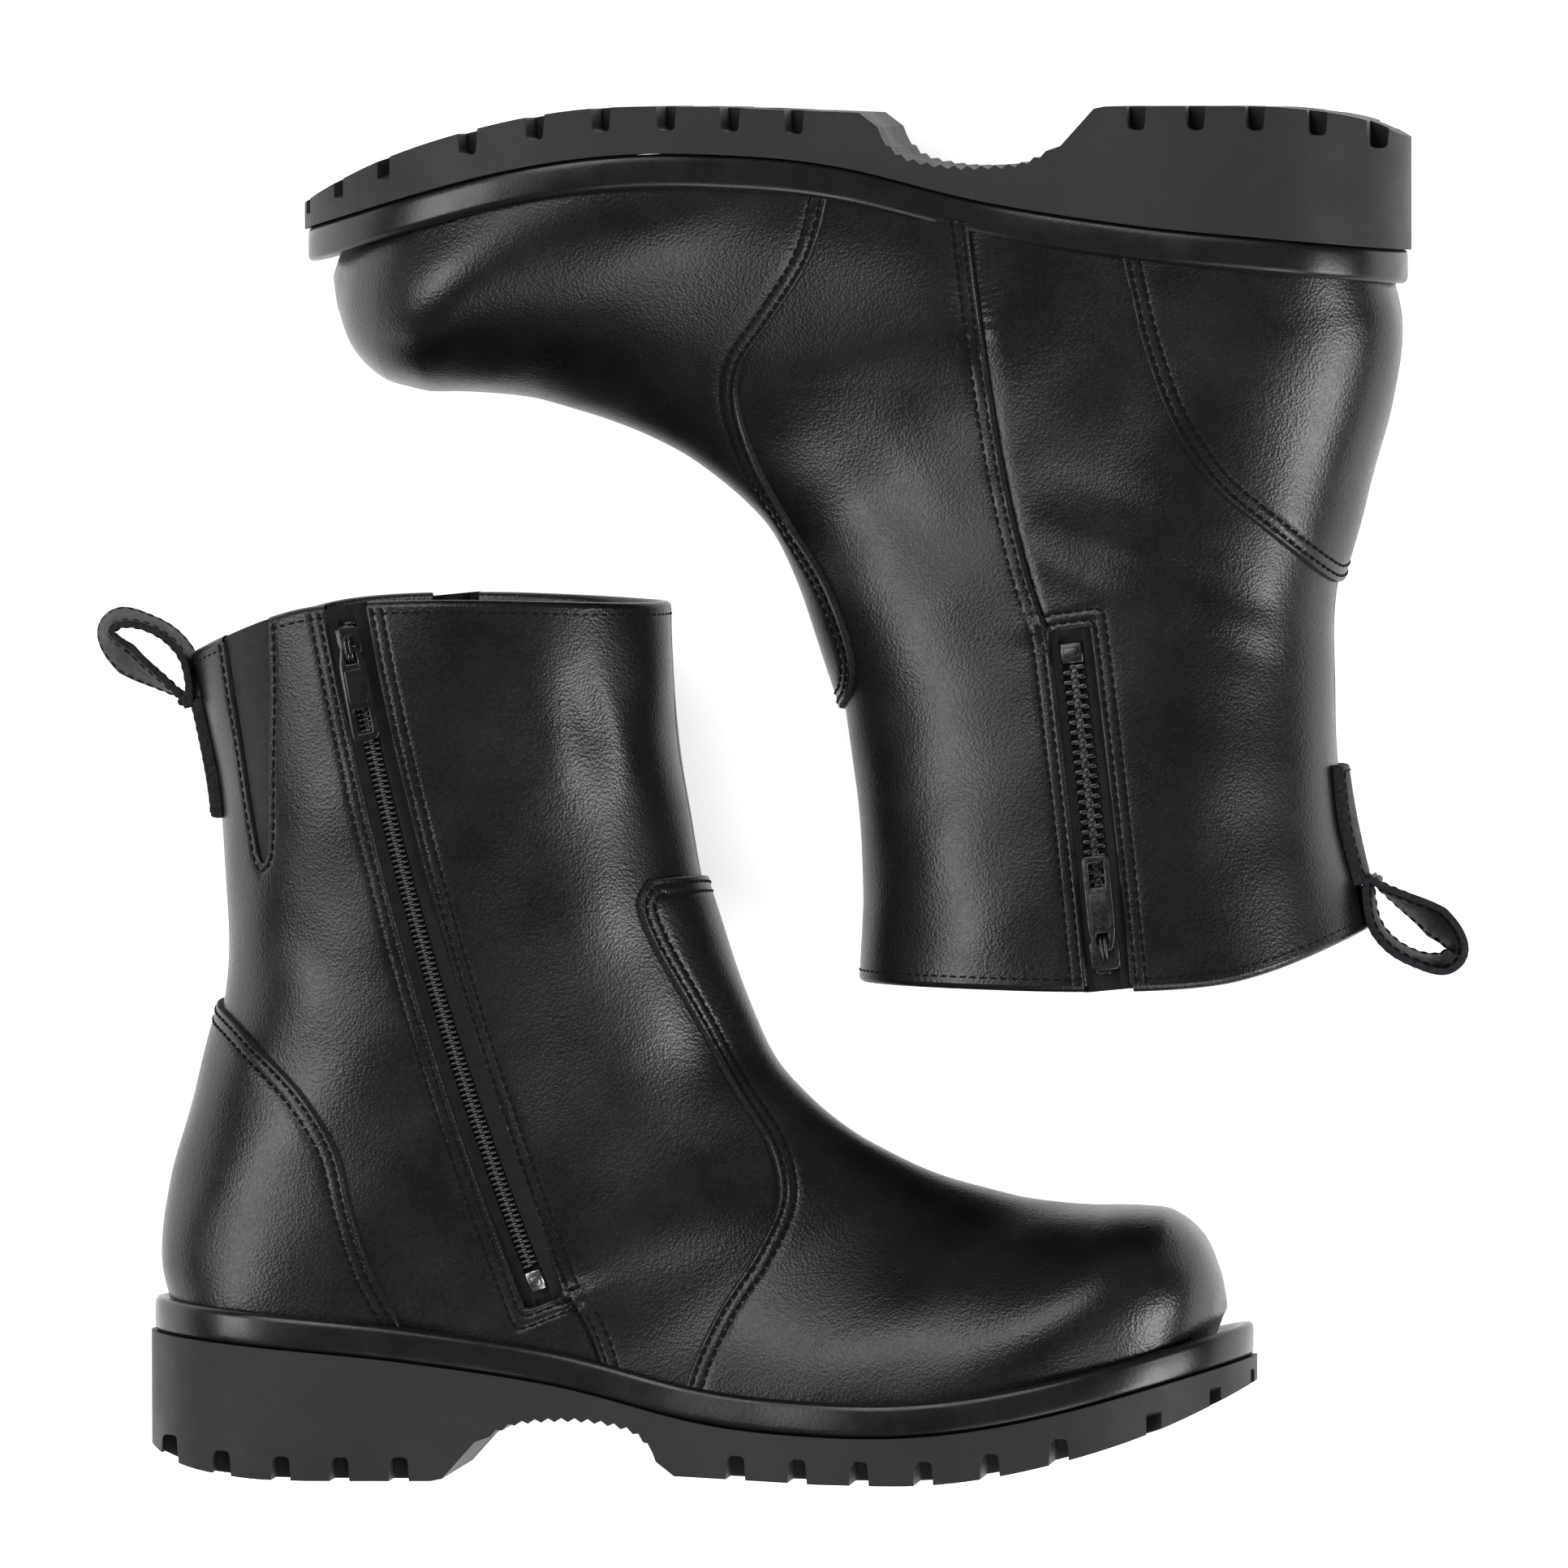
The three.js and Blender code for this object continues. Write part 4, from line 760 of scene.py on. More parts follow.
def full_skin(tracks):
    around = columns_round()
    t, a = np.meshgrid(np.linspace(0, TOE_T, ROWS), around, indexing="ij")
    t, a = t.ravel(), a.ravel()
    p, q, r, s = grid_corners(ROWS, len(around))
    triangles = np.concatenate([np.stack([p, q, r], 1), np.stack([r, q, s], 1)])
    points, normals = base(t, a), normal(t, a)
    centred = np.clip(0.5 + points[:, 1] / BLEND, 0, 1)

    def on_both(lines, sign):
        outer, _ = surface_distance(points, normals, lines[1])
        inner, _ = surface_distance(points, normals, lines[-1])
        return sign * (outer * centred + inner * (1 - centred))

    columns = {"t": t, "a": a, "x": points[:, 0], "y": points[:, 1], "z": points[:, 2]}
    columns["vamp"] = on_both({k: spline(v) for k, v in VAMP_EDGE.items()}, 1)
    columns["counter"] = on_both({k: spline(v) for k, v in COUNTER_EDGE.items()}, -1)
    columns["rim"] = surface_distance(points, normals, top_line)[0]
    columns["low"] = points[:, 2] - height_on(welt_top, points[:, 0]) + WELT_LIP
    columns["notch"] = notch_field(points, normals)
    for track, spec in zip(tracks, ZIPS):
        line, at = track.side_line(ABOVE_CHAIN, track.span + BELOW_CHAIN)
        across, along = surface_distance(points, normals, line)
        s = np.interp(along, np.arange(len(line)), at)
        here = np.sign(points[:, 1]) == track.side
        below = s - track.span - SLOT_TAIL
        seam, _ = surface_distance(points, normals, track.seam_line(spec["seam"]))
        name = spec["name"]
        columns[f"{name}_slot"] = np.where(here, np.maximum(np.abs(across) - SLOT_HALF, below), OFF_ZIP)
        columns[f"{name}_below"] = below
        columns[f"{name}_w"] = -seam
    return Skin(list(columns), np.column_stack(list(columns.values())), triangles)


# ---- Creases and unevenness of worn leather ----
# Each crease: the side that it is on, its ends in the side view, its width and its depth in millimetres.
CREASES = {
    "left": [
        (-1, (118, 222), (128, 196), 5, -0.7), (-1, (126, 216), (133, 190), 4, 0.6),
        (-1, (112, 205), (118, 186), 6, 0.5), (-1, (40, 150), (62, 128), 7, -0.5),
        (-1, (136, 118), (160, 88), 8, -0.5), (1, (60, 140), (95, 118), 6, -0.7),
    ],
    "right": [
        (1, (96, 112), (40, 134), 4.5, -1.0), (1, (100, 121), (52, 142), 4, 0.7),
        (1, (92, 100), (48, 116), 5, 0.6), (1, (84, 128), (36, 150), 5, -0.6),
        (1, (126, 120), (150, 92), 7, -0.6), (-1, (50, 150), (70, 120), 6, -0.6),
    ],
}
WAVES = [  # length in millimetres, direction, phase and height of broad unevenness
    (61, (0.8, 0.2, 0.5), 0.3, 0.22), (43, (0.3, -0.6, 0.8), 1.9, 0.16), (33, (0.7, 0.7, -0.4), 4.1, 0.12),
    (24, (-0.5, 0.5, 0.7), 2.6, 0.08),
]


# How far the front of the instep and shaft swells in millimetres, how much more the top of the toe, and how
# far the back of the heel is pressed in. Each has its share at heights or at places along the boot.
FULLER = {"left": 0.0, "right": 4.5}
FULLER_UP = ([30, 75, 160, 215, 240], [0.2, 0.9, 0.75, 1.4, 2])
FULLER_AHEAD = ([266, 288], [1, 0])
TOE_FULLER = 1.8
TOE_AHEAD = ([236, 262, 276, 289], [0, 1, 1, 0])
HEEL_HOLLOW = {"left": 1.5, "right": 0.7}
HOLLOW_UP = ([40, 62, 92, 120], [0.6, 1, 0.8, 0])


def relief(side, points, a):
    """How far the worn leather stands out from the smooth surface at points with these angles round it."""
    ahead, _, up = points.T
    front, back = np.maximum(np.cos(a), 0), np.maximum(-np.cos(a), 0)
    raised = FULLER[side] * np.interp(up, *FULLER_UP) * front ** 1.3 * np.interp(ahead, *FULLER_AHEAD)
    raised += TOE_FULLER * front ** 1.5 * np.interp(ahead, *TOE_AHEAD)
    raised -= HEEL_HOLLOW[side] * np.interp(up, *HOLLOW_UP) * back ** 2
    for length, way, phase, height in WAVES:
        raised += height * np.sin(2 * math.pi * (points @ np.array(way)) / length + phase + len(side))
    for sign, start, end, width, depth in CREASES[side]:
        a, d = np.array(start, float), np.subtract(end, start).astype(float)
        u = np.clip((points[:, [0, 2]] - a) @ d / (d @ d), 0, 1)
        off = np.linalg.norm(points[:, [0, 2]] - a - u[:, None] * d, axis=1)
        faded = np.sin(math.pi * np.clip(0.12 + 0.76 * u, 0, 1)) * (np.sign(points[:, 1]) == sign)
        raised += depth * np.exp(-(off / width) ** 2) * faded
    return raised


EDGE_RADIUS = 0.7
DENT, DENT_WIDTH = 0.28, 0.5  # how far a row of stitches sinks into the leather, and over what width
DENT_SIDE = 0.55  # where the dent ends beside the row


def edge_drop(d, drop, radius=EDGE_RADIUS):
    """How far a cut edge falls below the face, at a distance d inside it."""
    u = np.clip(1 - d / radius, 0, 1)
    return -drop * (1 - np.sqrt(np.maximum(1 - u ** 2, 0)))


def stitch_dent(d, rows):
    return sum(-DENT * np.exp(-((d - row) / DENT_WIDTH) ** 2) for row in rows)


def skin_points(side, skin, height):
    t, a = skin["t"], skin["a"]
    points = base(t, a)
    return points + normal(t, a) * (height + relief(side, points, a))[:, None]


def levels(rows, radius=EDGE_RADIUS):
    """Distances inside a cut edge at which a mesh needs edges, on its rounding and beside its stitches."""
    marks = {0.0, 0.12 * radius, 0.45 * radius, radius}
    for row in rows:
        marks |= {row - DENT_SIDE, row, row + DENT_SIDE}
    return sorted(marks)


# ---- Stitching ----
PITCH = 2.9
THREAD = 0.34  # its radius
STITCH_REACH = 0.43  # share of the pitch that half a stitch takes up
STITCH_DIP = 0.22  # how far its ends go down


def level_lines(skin, name, level):
    """The lines along which a value has a level, each as vertex values in order."""
    value, _, odd = crossed_at(skin[name], skin.triangles, level)
    ends, links = {}, {}
    for corners in skin.triangles[odd].tolist():
        crossed = []
        for i, j in ((0, 1), (1, 2), (2, 0)):
            p, q = corners[i], corners[j]
            if (value[p] > 0) != (value[q] > 0):
                crossed.append((min(p, q), max(p, q)))
        for key in crossed:
            if key not in ends:
                share = value[key[0]] / (value[key[0]] - value[key[1]])
                ends[key] = skin.values[key[0]] * (1 - share) + skin.values[key[1]] * share
        links.setdefault(crossed[0], []).append(crossed[1])
        links.setdefault(crossed[1], []).append(crossed[0])
    lines, left = [], set(links)
    starts = [k for k in links if len(links[k]) == 1] + list(links)
    for start in starts:
        if start not in left:
            continue
        line, here = [start], start
        left.discard(start)
        while True:
            nearby = [k for k in links[here] if k in left]
            if not nearby:
                break
            here = nearby[0]
            left.discard(here)
            line.append(here)
        lines.append(np.array([ends[k] for k in line]))
    return [line for line in lines if len(line) > 4]


def stitches(paths, normals):
    """Short rounded threads along paths, each dipping into the leather at its ends."""
    ring = 6
    along = np.linspace(-1, 1, 7)
    template = []
    for u in along:
        r = THREAD * math.sqrt(max(1 - abs(u) ** 3, 0.02))
        dip = STITCH_DIP * abs(u) ** 3
        for turn in np.arange(ring) * 2 * math.pi / ring:
            template.append((u * PITCH * STITCH_REACH, r * math.cos(turn), r * math.sin(turn) - dip))
    template = np.array(template)
    cell = grid_faces(len(along), ring, True)
    caps = [tuple(range(ring))[::-1], tuple((len(along) - 1) * ring + k for k in range(ring))]
    parts = []
    for path, normal_line in zip(paths, normals):
        both = resample(np.column_stack([path, normal_line]), PITCH)
        for p, q in zip(both[:-1], both[1:]):
            x = unit(q[:3] - p[:3])
            z = unit(p[3:] + q[3:])
            z = unit(z - (z @ x) * x)
            y = np.cross(z, x)
            parts.append(((p[:3] + q[:3]) / 2 + template @ np.array([x, y, z]), cell + caps))
    return joined(parts)


def unbroken(points, normals, wanted, least):
    """The stretches of a line where it is wanted, each with more than the least number of points."""
    paths, path_normals, start = [], [], 0
    for end in range(len(points) + 1):
        if end == len(points) or not wanted[end]:
            if end - start > least:
                paths.append(points[start:end])
                path_normals.append(normals[start:end])
            start = end + 1
    return paths, path_normals


def stitch_paths(side, skin, name, level, height, where=None):
    """Points and normals of the lines at a level, at a height over the surface, split where not wanted."""
    paths, normals = [], []
    for line in level_lines(skin, name, level):
        found = Skin(skin.names, line, None)
        points = skin_points(side, found, height)
        out = normal(found["t"], found["a"])
        wanted = np.ones(len(line), bool) if where is None else where(found)
        more, more_normals = unbroken(points, out, wanted, 5)
        paths += more
        normals += more_normals
    return paths, normals


def gather(*found):
    return [p for paths, _ in found for p in paths], [n for _, normals in found for n in normals]


# ---- Leather pieces ----
OVERLAY_ROWS = (1.9, 4.7)  # how far inside an edge the rows of stitches lie
ZIP_ROWS = (1.9, 4.6)
SEAM_ROWS = (1.6, 4.3)
SINGLE_ROW = (1.9,)
LEATHER_FOOT = 0.3  # the leather's lower edge, over the foot of the welt's lip
FOOTBED_VOXEL, FOOTBED_SMOOTHING = 1.4, 5
LINING_ROWS, LINING_COLUMNS = 110, 97
LINING_T = (0.35, 17.6)
LINING_DEPTH = -4.6  # the lining's face under the leather's outer face
LINING_TOP = 14  # how far under the rim it starts, behind the folded leather
LINING_FLOOR = -2.5  # where it stops, under the welt's top
RAW, STRAP_RAW = 0.35, 0.5  # faces nearer than this to a cut edge show the raw leather
OVERLAY_DROP, QUARTER_DROP, NOTCH_DROP = 1.9, 1.7, 1.5  # how far the cut edges fall
UNDERLAP = 4  # how far the quarters run in under the vamp and the heel counter
PILLOW, PILLOW_REACH = 0.35, 7  # how much fuller an overlay is inside its stitches, and how far in
LAP, LAP_RISE, LAP_SINK = 5.0, 0.9, 1.0  # width of the seam's lap, and how far it lifts and sinks the leather
LAP_REACH, LAP_EDGE = 10, 2  # how far from the seam the front's leather lifts and the rear's sinks
SEAM_FADE, SEAM_START = 5, 7  # under the opening: how fast the lap comes, and where the seam's rows start
QUARTER_STITCH, SEAM_STITCH, OVERLAY_STITCH = -0.1, 0.7, 1.9  # heights of the rows of stitches
BACK_SEAM, BACK_SEAM_WIDTH = 0.55, 0.9  # the groove down the front and the back of the shaft
GUSSET_SUNK, GUSSET_RIB = 1.5, 0.07
COLLAR_COLUMNS = 361
COLLAR_ROW = 3.4  # the rim's stitches under the shaft's top


def leather_piece(side, skin, edge, height, node):
    points = skin_points(side, skin, height)
    middle = skin[edge][skin.triangles].mean(1)
    points, faces, slots = merged(points, skin.triangles, (middle < RAW).astype(int))
    placed(side, f"{node}_leather", points, faces, ["leather", "edge"], "leather", [node], face_slots=slots)


def merged(points, triangles, slots):
    """Vertices at the same place made one, so that shading runs on across the back of the boot."""
    _, first, index = np.unique(np.round(points, 4), axis=0, return_index=True, return_inverse=True)
    tri = index.ravel()[triangles]
    good = (tri[:, 0] != tri[:, 1]) & (tri[:, 1] != tri[:, 2]) & (tri[:, 0] != tri[:, 2])
    return points[first], tri[good], slots[good]


def overlay(side, skin, field, node):
    """The vamp or the heel counter, on top of the quarters."""
    piece = skin.cut("low", [LEATHER_FOOT]).cut(field, levels(OVERLAY_ROWS))
    d = piece[field]
    pillow = PILLOW * (1 - np.exp(-np.maximum(d - OVERLAY_ROWS[1], 0) / PILLOW_REACH))
    height = OVERLAY_TOP + edge_drop(d, OVERLAY_DROP) + stitch_dent(d, OVERLAY_ROWS) + pillow - 0.25
    leather_piece(side, piece, field, height, node)
    return [stitch_paths(side, piece, field, row, OVERLAY_STITCH) for row in OVERLAY_ROWS]


def quarter(side, skin, zip_name, sign, is_front, node):
    """One of the four leather pieces of the shaft, open along the zip and lapped at the seam below it."""
    w, slot = skin[f"{zip_name}_w"], skin[f"{zip_name}_slot"]
    lap = 0.0 if is_front else LAP
    d = np.minimum((w if is_front else -w) + lap, slot)
    skin = skin.with_value("piece", d)
    skin = skin.with_value("under", UNDERLAP - np.maximum(skin["vamp"], skin["counter"]))
    skin = skin.with_value("half", sign * skin["y"])
    skin = skin.cut("half", [0.0]).cut("rim", [RIM]).cut("low", [LEATHER_FOOT]).cut("under", [0.0])
    notched = sign < 0 and not is_front
    if notched:
        skin = skin.with_value("off_notch", -skin["notch"]).cut("off_notch", levels(SINGLE_ROW))
    skin = skin.cut("piece", levels(ZIP_ROWS))
    d, w, slot = skin["piece"], skin[f"{zip_name}_w"], skin[f"{zip_name}_slot"]
    below = np.clip(skin[f"{zip_name}_below"] / SEAM_FADE + 0.6, 0, 1)
    height = stitch_dent(slot, ZIP_ROWS) - BACK_SEAM * np.exp(-(skin["half"] / BACK_SEAM_WIDTH) ** 2)
    if is_front:
        lifted = LAP_RISE * np.exp(-(w / LAP_REACH) ** 2) + stitch_dent(w, SEAM_ROWS)
        height += edge_drop(d, QUARTER_DROP) + below * lifted
    else:
        height += edge_drop(slot, QUARTER_DROP) - below * LAP_SINK * np.clip((w + LAP_EDGE) / LAP_EDGE, 0, 1)
    if notched:
        height += edge_drop(skin["off_notch"], NOTCH_DROP, 0.9) + stitch_dent(skin["off_notch"], SINGLE_ROW)
    leather_piece(side, skin, "piece", height, node)
    rows = [stitch_paths(side, skin, f"{zip_name}_slot", row, QUARTER_STITCH) for row in ZIP_ROWS]
    if is_front:
        rows += [stitch_paths(side, skin, f"{zip_name}_w", row, SEAM_STITCH,
                              lambda f: f[f"{zip_name}_below"] > SEAM_START) for row in SEAM_ROWS]
    if notched:
        rows.append(stitch_paths(side, skin, "off_notch", SINGLE_ROW[0], QUARTER_STITCH))
    return rows


def rim_t(a, depth):
    """Where each angle's line crosses a depth below the shaft's top."""
    low, high = np.zeros(len(a)), np.full(len(a), 2.5)
    for _ in range(22):
        t = (low + high) / 2
        p, n = base(t, a), normal(t, a)
        inside = surface_distance(p, n, top_line)[0] > depth
        high, low = np.where(inside, t, high), np.where(inside, low, t)
    return (low + high) / 2


def collar(side, tracks):
    """The folded rim: over the top and down the inside, open at the zips and at the gusset."""
    over, under = np.linspace(0, math.pi / 2, 5), np.linspace(0.4, math.pi / 2, 4)
    profile = [(RIM * (1 - math.sin(u)), -RIM * (1 - math.cos(u))) for u in over]
    profile += [(RIM * (1 - math.cos(u)), -RIM * (1 + math.sin(u))) for u in under]
    profile += [(6, -RIM * 2 - 0.5), (13, -RIM * 2 - 0.8), (22, -RIM * 2 - 1.0)]
    a = np.linspace(-math.pi, math.pi, COLLAR_COLUMNS)
    rows, seen = [], None
    for depth, height in profile:
        t = rim_t(a, max(depth, 0.01))
        points = base(t, a)
        rows.append(points + normal(t, a) * (height + relief(side, points, a))[:, None])
        if seen is None:
            seen = points
            outward_normals = normal(t, a)
    shut = np.ones(len(a), bool)
    for track in tracks:
        line, _ = track.side_line(ABOVE_CHAIN, 60)
        w, _ = surface_distance(seen, outward_normals, line)
        shut &= (np.abs(w) > SLOT_HALF) | (np.sign(seen[:, 1]) != track.side)
    shut &= notch_field(seen, outward_normals) <= 0
    count = len(a)
    faces = [f for f in grid_faces(len(rows), count) if shut[f[0] % count] and shut[f[1] % count]]
    placed(side, "collar_fold", np.vstack(rows), [f[::-1] for f in faces], ["leather"], "leather")
    t = rim_t(a, COLLAR_ROW)
    points = base(t, a)
    ring = points + normal(t, a) * (relief(side, points, a) - 0.05)[:, None]
    return unbroken(ring, outward_normals, shut, 8)


def lining(side):
    """The inside of the boot, from below the folded rim down to the footbed and into the toe."""
    around = np.linspace(-math.pi, math.pi, LINING_COLUMNS)
    t, a = np.meshgrid(np.linspace(*LINING_T, LINING_ROWS), around, indexing="ij")
    t, a = t.ravel(), a.ravel()
    points = base(t, a)
    points = points + normal(t, a) * (LINING_DEPTH + relief(side, points, a) * 0.6)[:, None]
    p, q, r, s = grid_corners(LINING_ROWS, LINING_COLUMNS)
    faces = np.stack([p, r, s, q], 1)
    rim = surface_distance(points, normal(t, a), top_line)[0]
    floor = points[:, 2] - height_on(welt_top, points[:, 0])
    wanted = (rim[faces].min(1) > LINING_TOP) & (floor[faces].max(1) > LINING_FLOOR)
    placed(side, "woven_lining", points, faces[wanted], ["lining"], "lining",
           ["lining", "long_zip_gusset", "short_zip_gusset"])


def footbed(side):
    """The footbed, remeshed and smoothed from its solid so that its edges are soft."""
    solid = frame["nodes"][f"{side}_footbed"]
    verts, faces = read_mesh(solid.data)
    verts = [solid.matrix_world @ Vector(v) for v in verts]
    obj = new_object(f"{side}_soft_footbed", verts, faces, ["lining"])
    remesh = obj.modifiers.new("remesh", "REMESH")
    remesh.voxel_size = FOOTBED_VOXEL * MM
    smooth = obj.modifiers.new("smooth", "SMOOTH")
    smooth.iterations = FOOTBED_SMOOTHING
    mesh = applied(obj)
    obj.modifiers.clear()
    obj.data = mesh
    assigned(obj, side, ["footbed"])


def gusset(side, skin):
    piece = skin.cut("notch", [-1.2]).cut("rim", [0.4])
    height = -GUSSET_SUNK - GUSSET_RIB * np.cos(piece["z"] * 2.1)
    points = skin_points(side, piece, height)
    placed(side, "elastic_gusset", points, piece.triangles, ["suede"], "suede", ["v_gusset"])


# ---- Pull loop ----
LOOP_BODY = "pull_loop_body"
LOOP_PIVOT = (9.6, 209.5)
PIN = 1.1
LOOP_PATH = [(11.2, 208.3), (8.2, 211.2), (2.6, 214.8), (-4.8, 219.4), (-10.4, 224.2), (-12.2, 228.6),
             (-9.2, 231.8), (-2.6, 231.2), (4.6, 227.8), (9.8, 222), (11.6, 214.8), (11.8, 208.3)]
LOOP_TWIST = [(0, 0), (0.1, 8), (0.3, 24), (0.45, 14), (0.6, 4), (0.85, 1), (1, 0)]  # degrees along it
STRAP_WIDTH, STRAP, STRAP_ROW = 22, 2, 8.8
ANCHOR_LOW, ANCHOR_HIGH, ANCHOR_FACE = 178, 210.6, 3.0


def closed_spline(points, count):
    p = np.array(points, float)
    u = np.linspace(0, 1, 10, endpoint=False)[:, None]
    line = np.vstack([cubic(*(p[(i + k) % len(p)] for k in (-1, 0, 1, 2)), u) for i in range(len(p))])
    whole = resample(np.vstack([line, line[:1]]), 0.01)
    return whole[np.linspace(0, len(whole) - 1, count, endpoint=False).astype(int)]


def strap_frames(spacing=0.8):
    """Along the loop: the middle of the strap, the way across its width and the way out of its face."""
    path = spline(LOOP_PATH, spacing)
    way = unit(np.gradient(path, axis=0))
    out = np.column_stack([-way[:, 1], np.zeros(len(path)), way[:, 0]])
    twist = np.radians(np.interp(np.linspace(0, 1, len(path)), *np.array(LOOP_TWIST).T))[:, None]
    flat = np.array([0, 1, 0])
    middle = np.column_stack([path[:, 0], np.zeros(len(path)), path[:, 1]])
    return middle, flat * np.cos(twist) + out * np.sin(twist), out * np.cos(twist) - flat * np.sin(twist)


def strap_loop(side):
    middle, across, out = strap_frames()
    half, thick, corner = STRAP_WIDTH / 2, STRAP / 2, 0.4
    ring = np.array(rounded(rectangle(-half, half, -thick, thick), corner, 3))
    wide, high = ring.T
    n = len(ring)
    verts = middle[:, None] + across[:, None] * wide[None, :, None] + out[:, None] * high[None, :, None]
    strip = grid_faces(len(middle), n, True)
    slots = [int(min(abs(wide[i % n]), abs(wide[j % n])) > half - corner * 0.9) for i, j, _, _ in strip]
    pin = tube([(LOOP_PIVOT[0], y, LOOP_PIVOT[1]) for y in (-half + 0.1, half - 0.1)], PIN)
    verts, faces = joined([(verts.reshape(-1, 3), strip), pin])
    slots += [0] * len(pin[1])
    placed(side, "pull_strap", verts, faces, ["strap", "edge"], "leather", ["pull_loop"], LOOP_BODY, slots)
    paths, normals = [], []
    for wide_at in (-STRAP_ROW, STRAP_ROW):
        for face in (-1, 1):
            inner = slice(4, len(middle) - 4)
            paths.append((middle + across * wide_at + out * face * (thick + 0.05))[inner])
            normals.append(out[inner] * face)
    verts, faces = stitches(paths, normals)
    placed(side, "pull_strap_thread", verts, faces, ["thread"], "leather", body=LOOP_BODY)


def pull_legs(side, skin):
    legs = skin.with_value("leg", np.where(np.abs(skin["a"]) > 2, np.minimum.reduce(
        [STRAP_WIDTH / 2 - np.abs(skin["y"]), skin["z"] - ANCHOR_LOW, ANCHOR_HIGH - skin["z"]]), -20))
    legs = legs.cut("leg", levels(SINGLE_ROW, 0.9))
    height = ANCHOR_FACE + edge_drop(legs["leg"], 2.8, 0.9) + stitch_dent(legs["leg"], SINGLE_ROW)
    points = skin_points(side, legs, height)
    middle = legs["leg"][legs.triangles].mean(1)
    points, tri, slots = merged(points, legs.triangles, (middle < STRAP_RAW).astype(int))
    placed(side, "pull_strap_legs", points, tri, ["strap", "edge"], "leather", ["pull_loop_anchor"],
           face_slots=slots)
    return stitch_paths(side, legs, "leg", SINGLE_ROW[0], ANCHOR_FACE - 0.1)


# ---- Zips ----
CHAIN = {"long_zip": 4.4, "short_zip": 6.0}
TOOTH_PITCH = {"long_zip": 1.5, "short_zip": 2.7}
TAPE_TOP = -4.5
SLIDER_LENGTH = 12
SLIDER_REST = SLIDER_LENGTH / 2 + 1
WING_LOW, WING = 1.5, 0.9
BAR_AT = WING_LOW + WING + 1.6
PULL_LENGTH, PULL_WIDTH, PULL_THICK = 25, 7.4, 1.2


def ribbon(profile, start, end, track, step=2.0):
    """A strip along the track with the same w, o profile all the way."""
    at = np.linspace(start, end, max(2, int((end - start) / step)))
    flat = [(s, w, o) for s in at for w, o in profile]
    return track.bent(flat), grid_faces(len(at), len(profile))


def box(s0, s1, w0, w1, o0, o1, bevel=0.25):
    verts, faces = plate([rectangle(s0, s1, w0, w1)], o1 - o0, bevel, 1)
    return verts + (0, 0, (o0 + o1) / 2), faces


def zip_tape(side, track, name):
    half = CHAIN[name] / 2
    end = track.span + SLOT_TAIL
    strips = []
    for sign in (-1, 1):
        profile = [(sign * w, o) for w, o in (
            (-0.05, -0.5), (half, -0.45), (half + 0.15, 0.25), (half + 0.75, 0.3), (half + 0.95, -0.1),
            (SLOT_HALF - 0.4, -0.25), (SLOT_HALF + 1.2, -1.2))]
        strips.append(ribbon(profile if sign > 0 else profile[::-1], TAPE_TOP, end, track))
    verts, faces = joined(strips)
    placed(side, f"{name}_woven_tape", verts, faces, ["tape"], "tape", [f"{name}_tape"])


def zip_teeth(side, track, name):
    pitch, half = TOOTH_PITCH[name], CHAIN[name] / 2
    count = int(track.span / pitch)
    parts = []
    if name == "long_zip":
        tooth = tube([(-0.25, -0.7, 0.25), (-0.12, 0, 0.62), (0, 0.8, 0.7), (0.05, half - 0.5, 0.55),
                      (0.05, half - 0.05, 0.05)], 0.5, resolution=1)
        finish = "coil"
    else:
        tooth = joined([box(-0.62, 0.62, 0.5, half, -1.0, 1.0), box(-0.78, 0.78, -1.05, 0.6, -0.85, 0.85)])
        finish = "gunmetal"
    for i in range(count):
        for sign, shift in ((1, 0.25), (-1, 0.75)):
            flat = tooth[0] * (1, sign, 1)
            faces = tooth[1] if sign > 0 else [f[::-1] for f in tooth[1]]
            parts.append((track.rigid(flat, (i + shift) * pitch), faces))
    verts, faces = joined(parts)
    placed(side, f"{name}_chain", verts, faces, [finish], finish, [f"{name}_teeth"])
    stop = "silver_metal" if name == "long_zip" else "gunmetal"
    ridge = box(2, 4.6, -half + 1, half - 1, 1.2, 1.9)
    verts, faces = joined([box(0.3, 6, -half, half, -1.1, 1.5, 0.5), ridge])
    placed(side, f"{name}_stop_block", track.rigid(verts, track.span), faces, [stop], stop,
           [f"{name}_bottom_stop"])


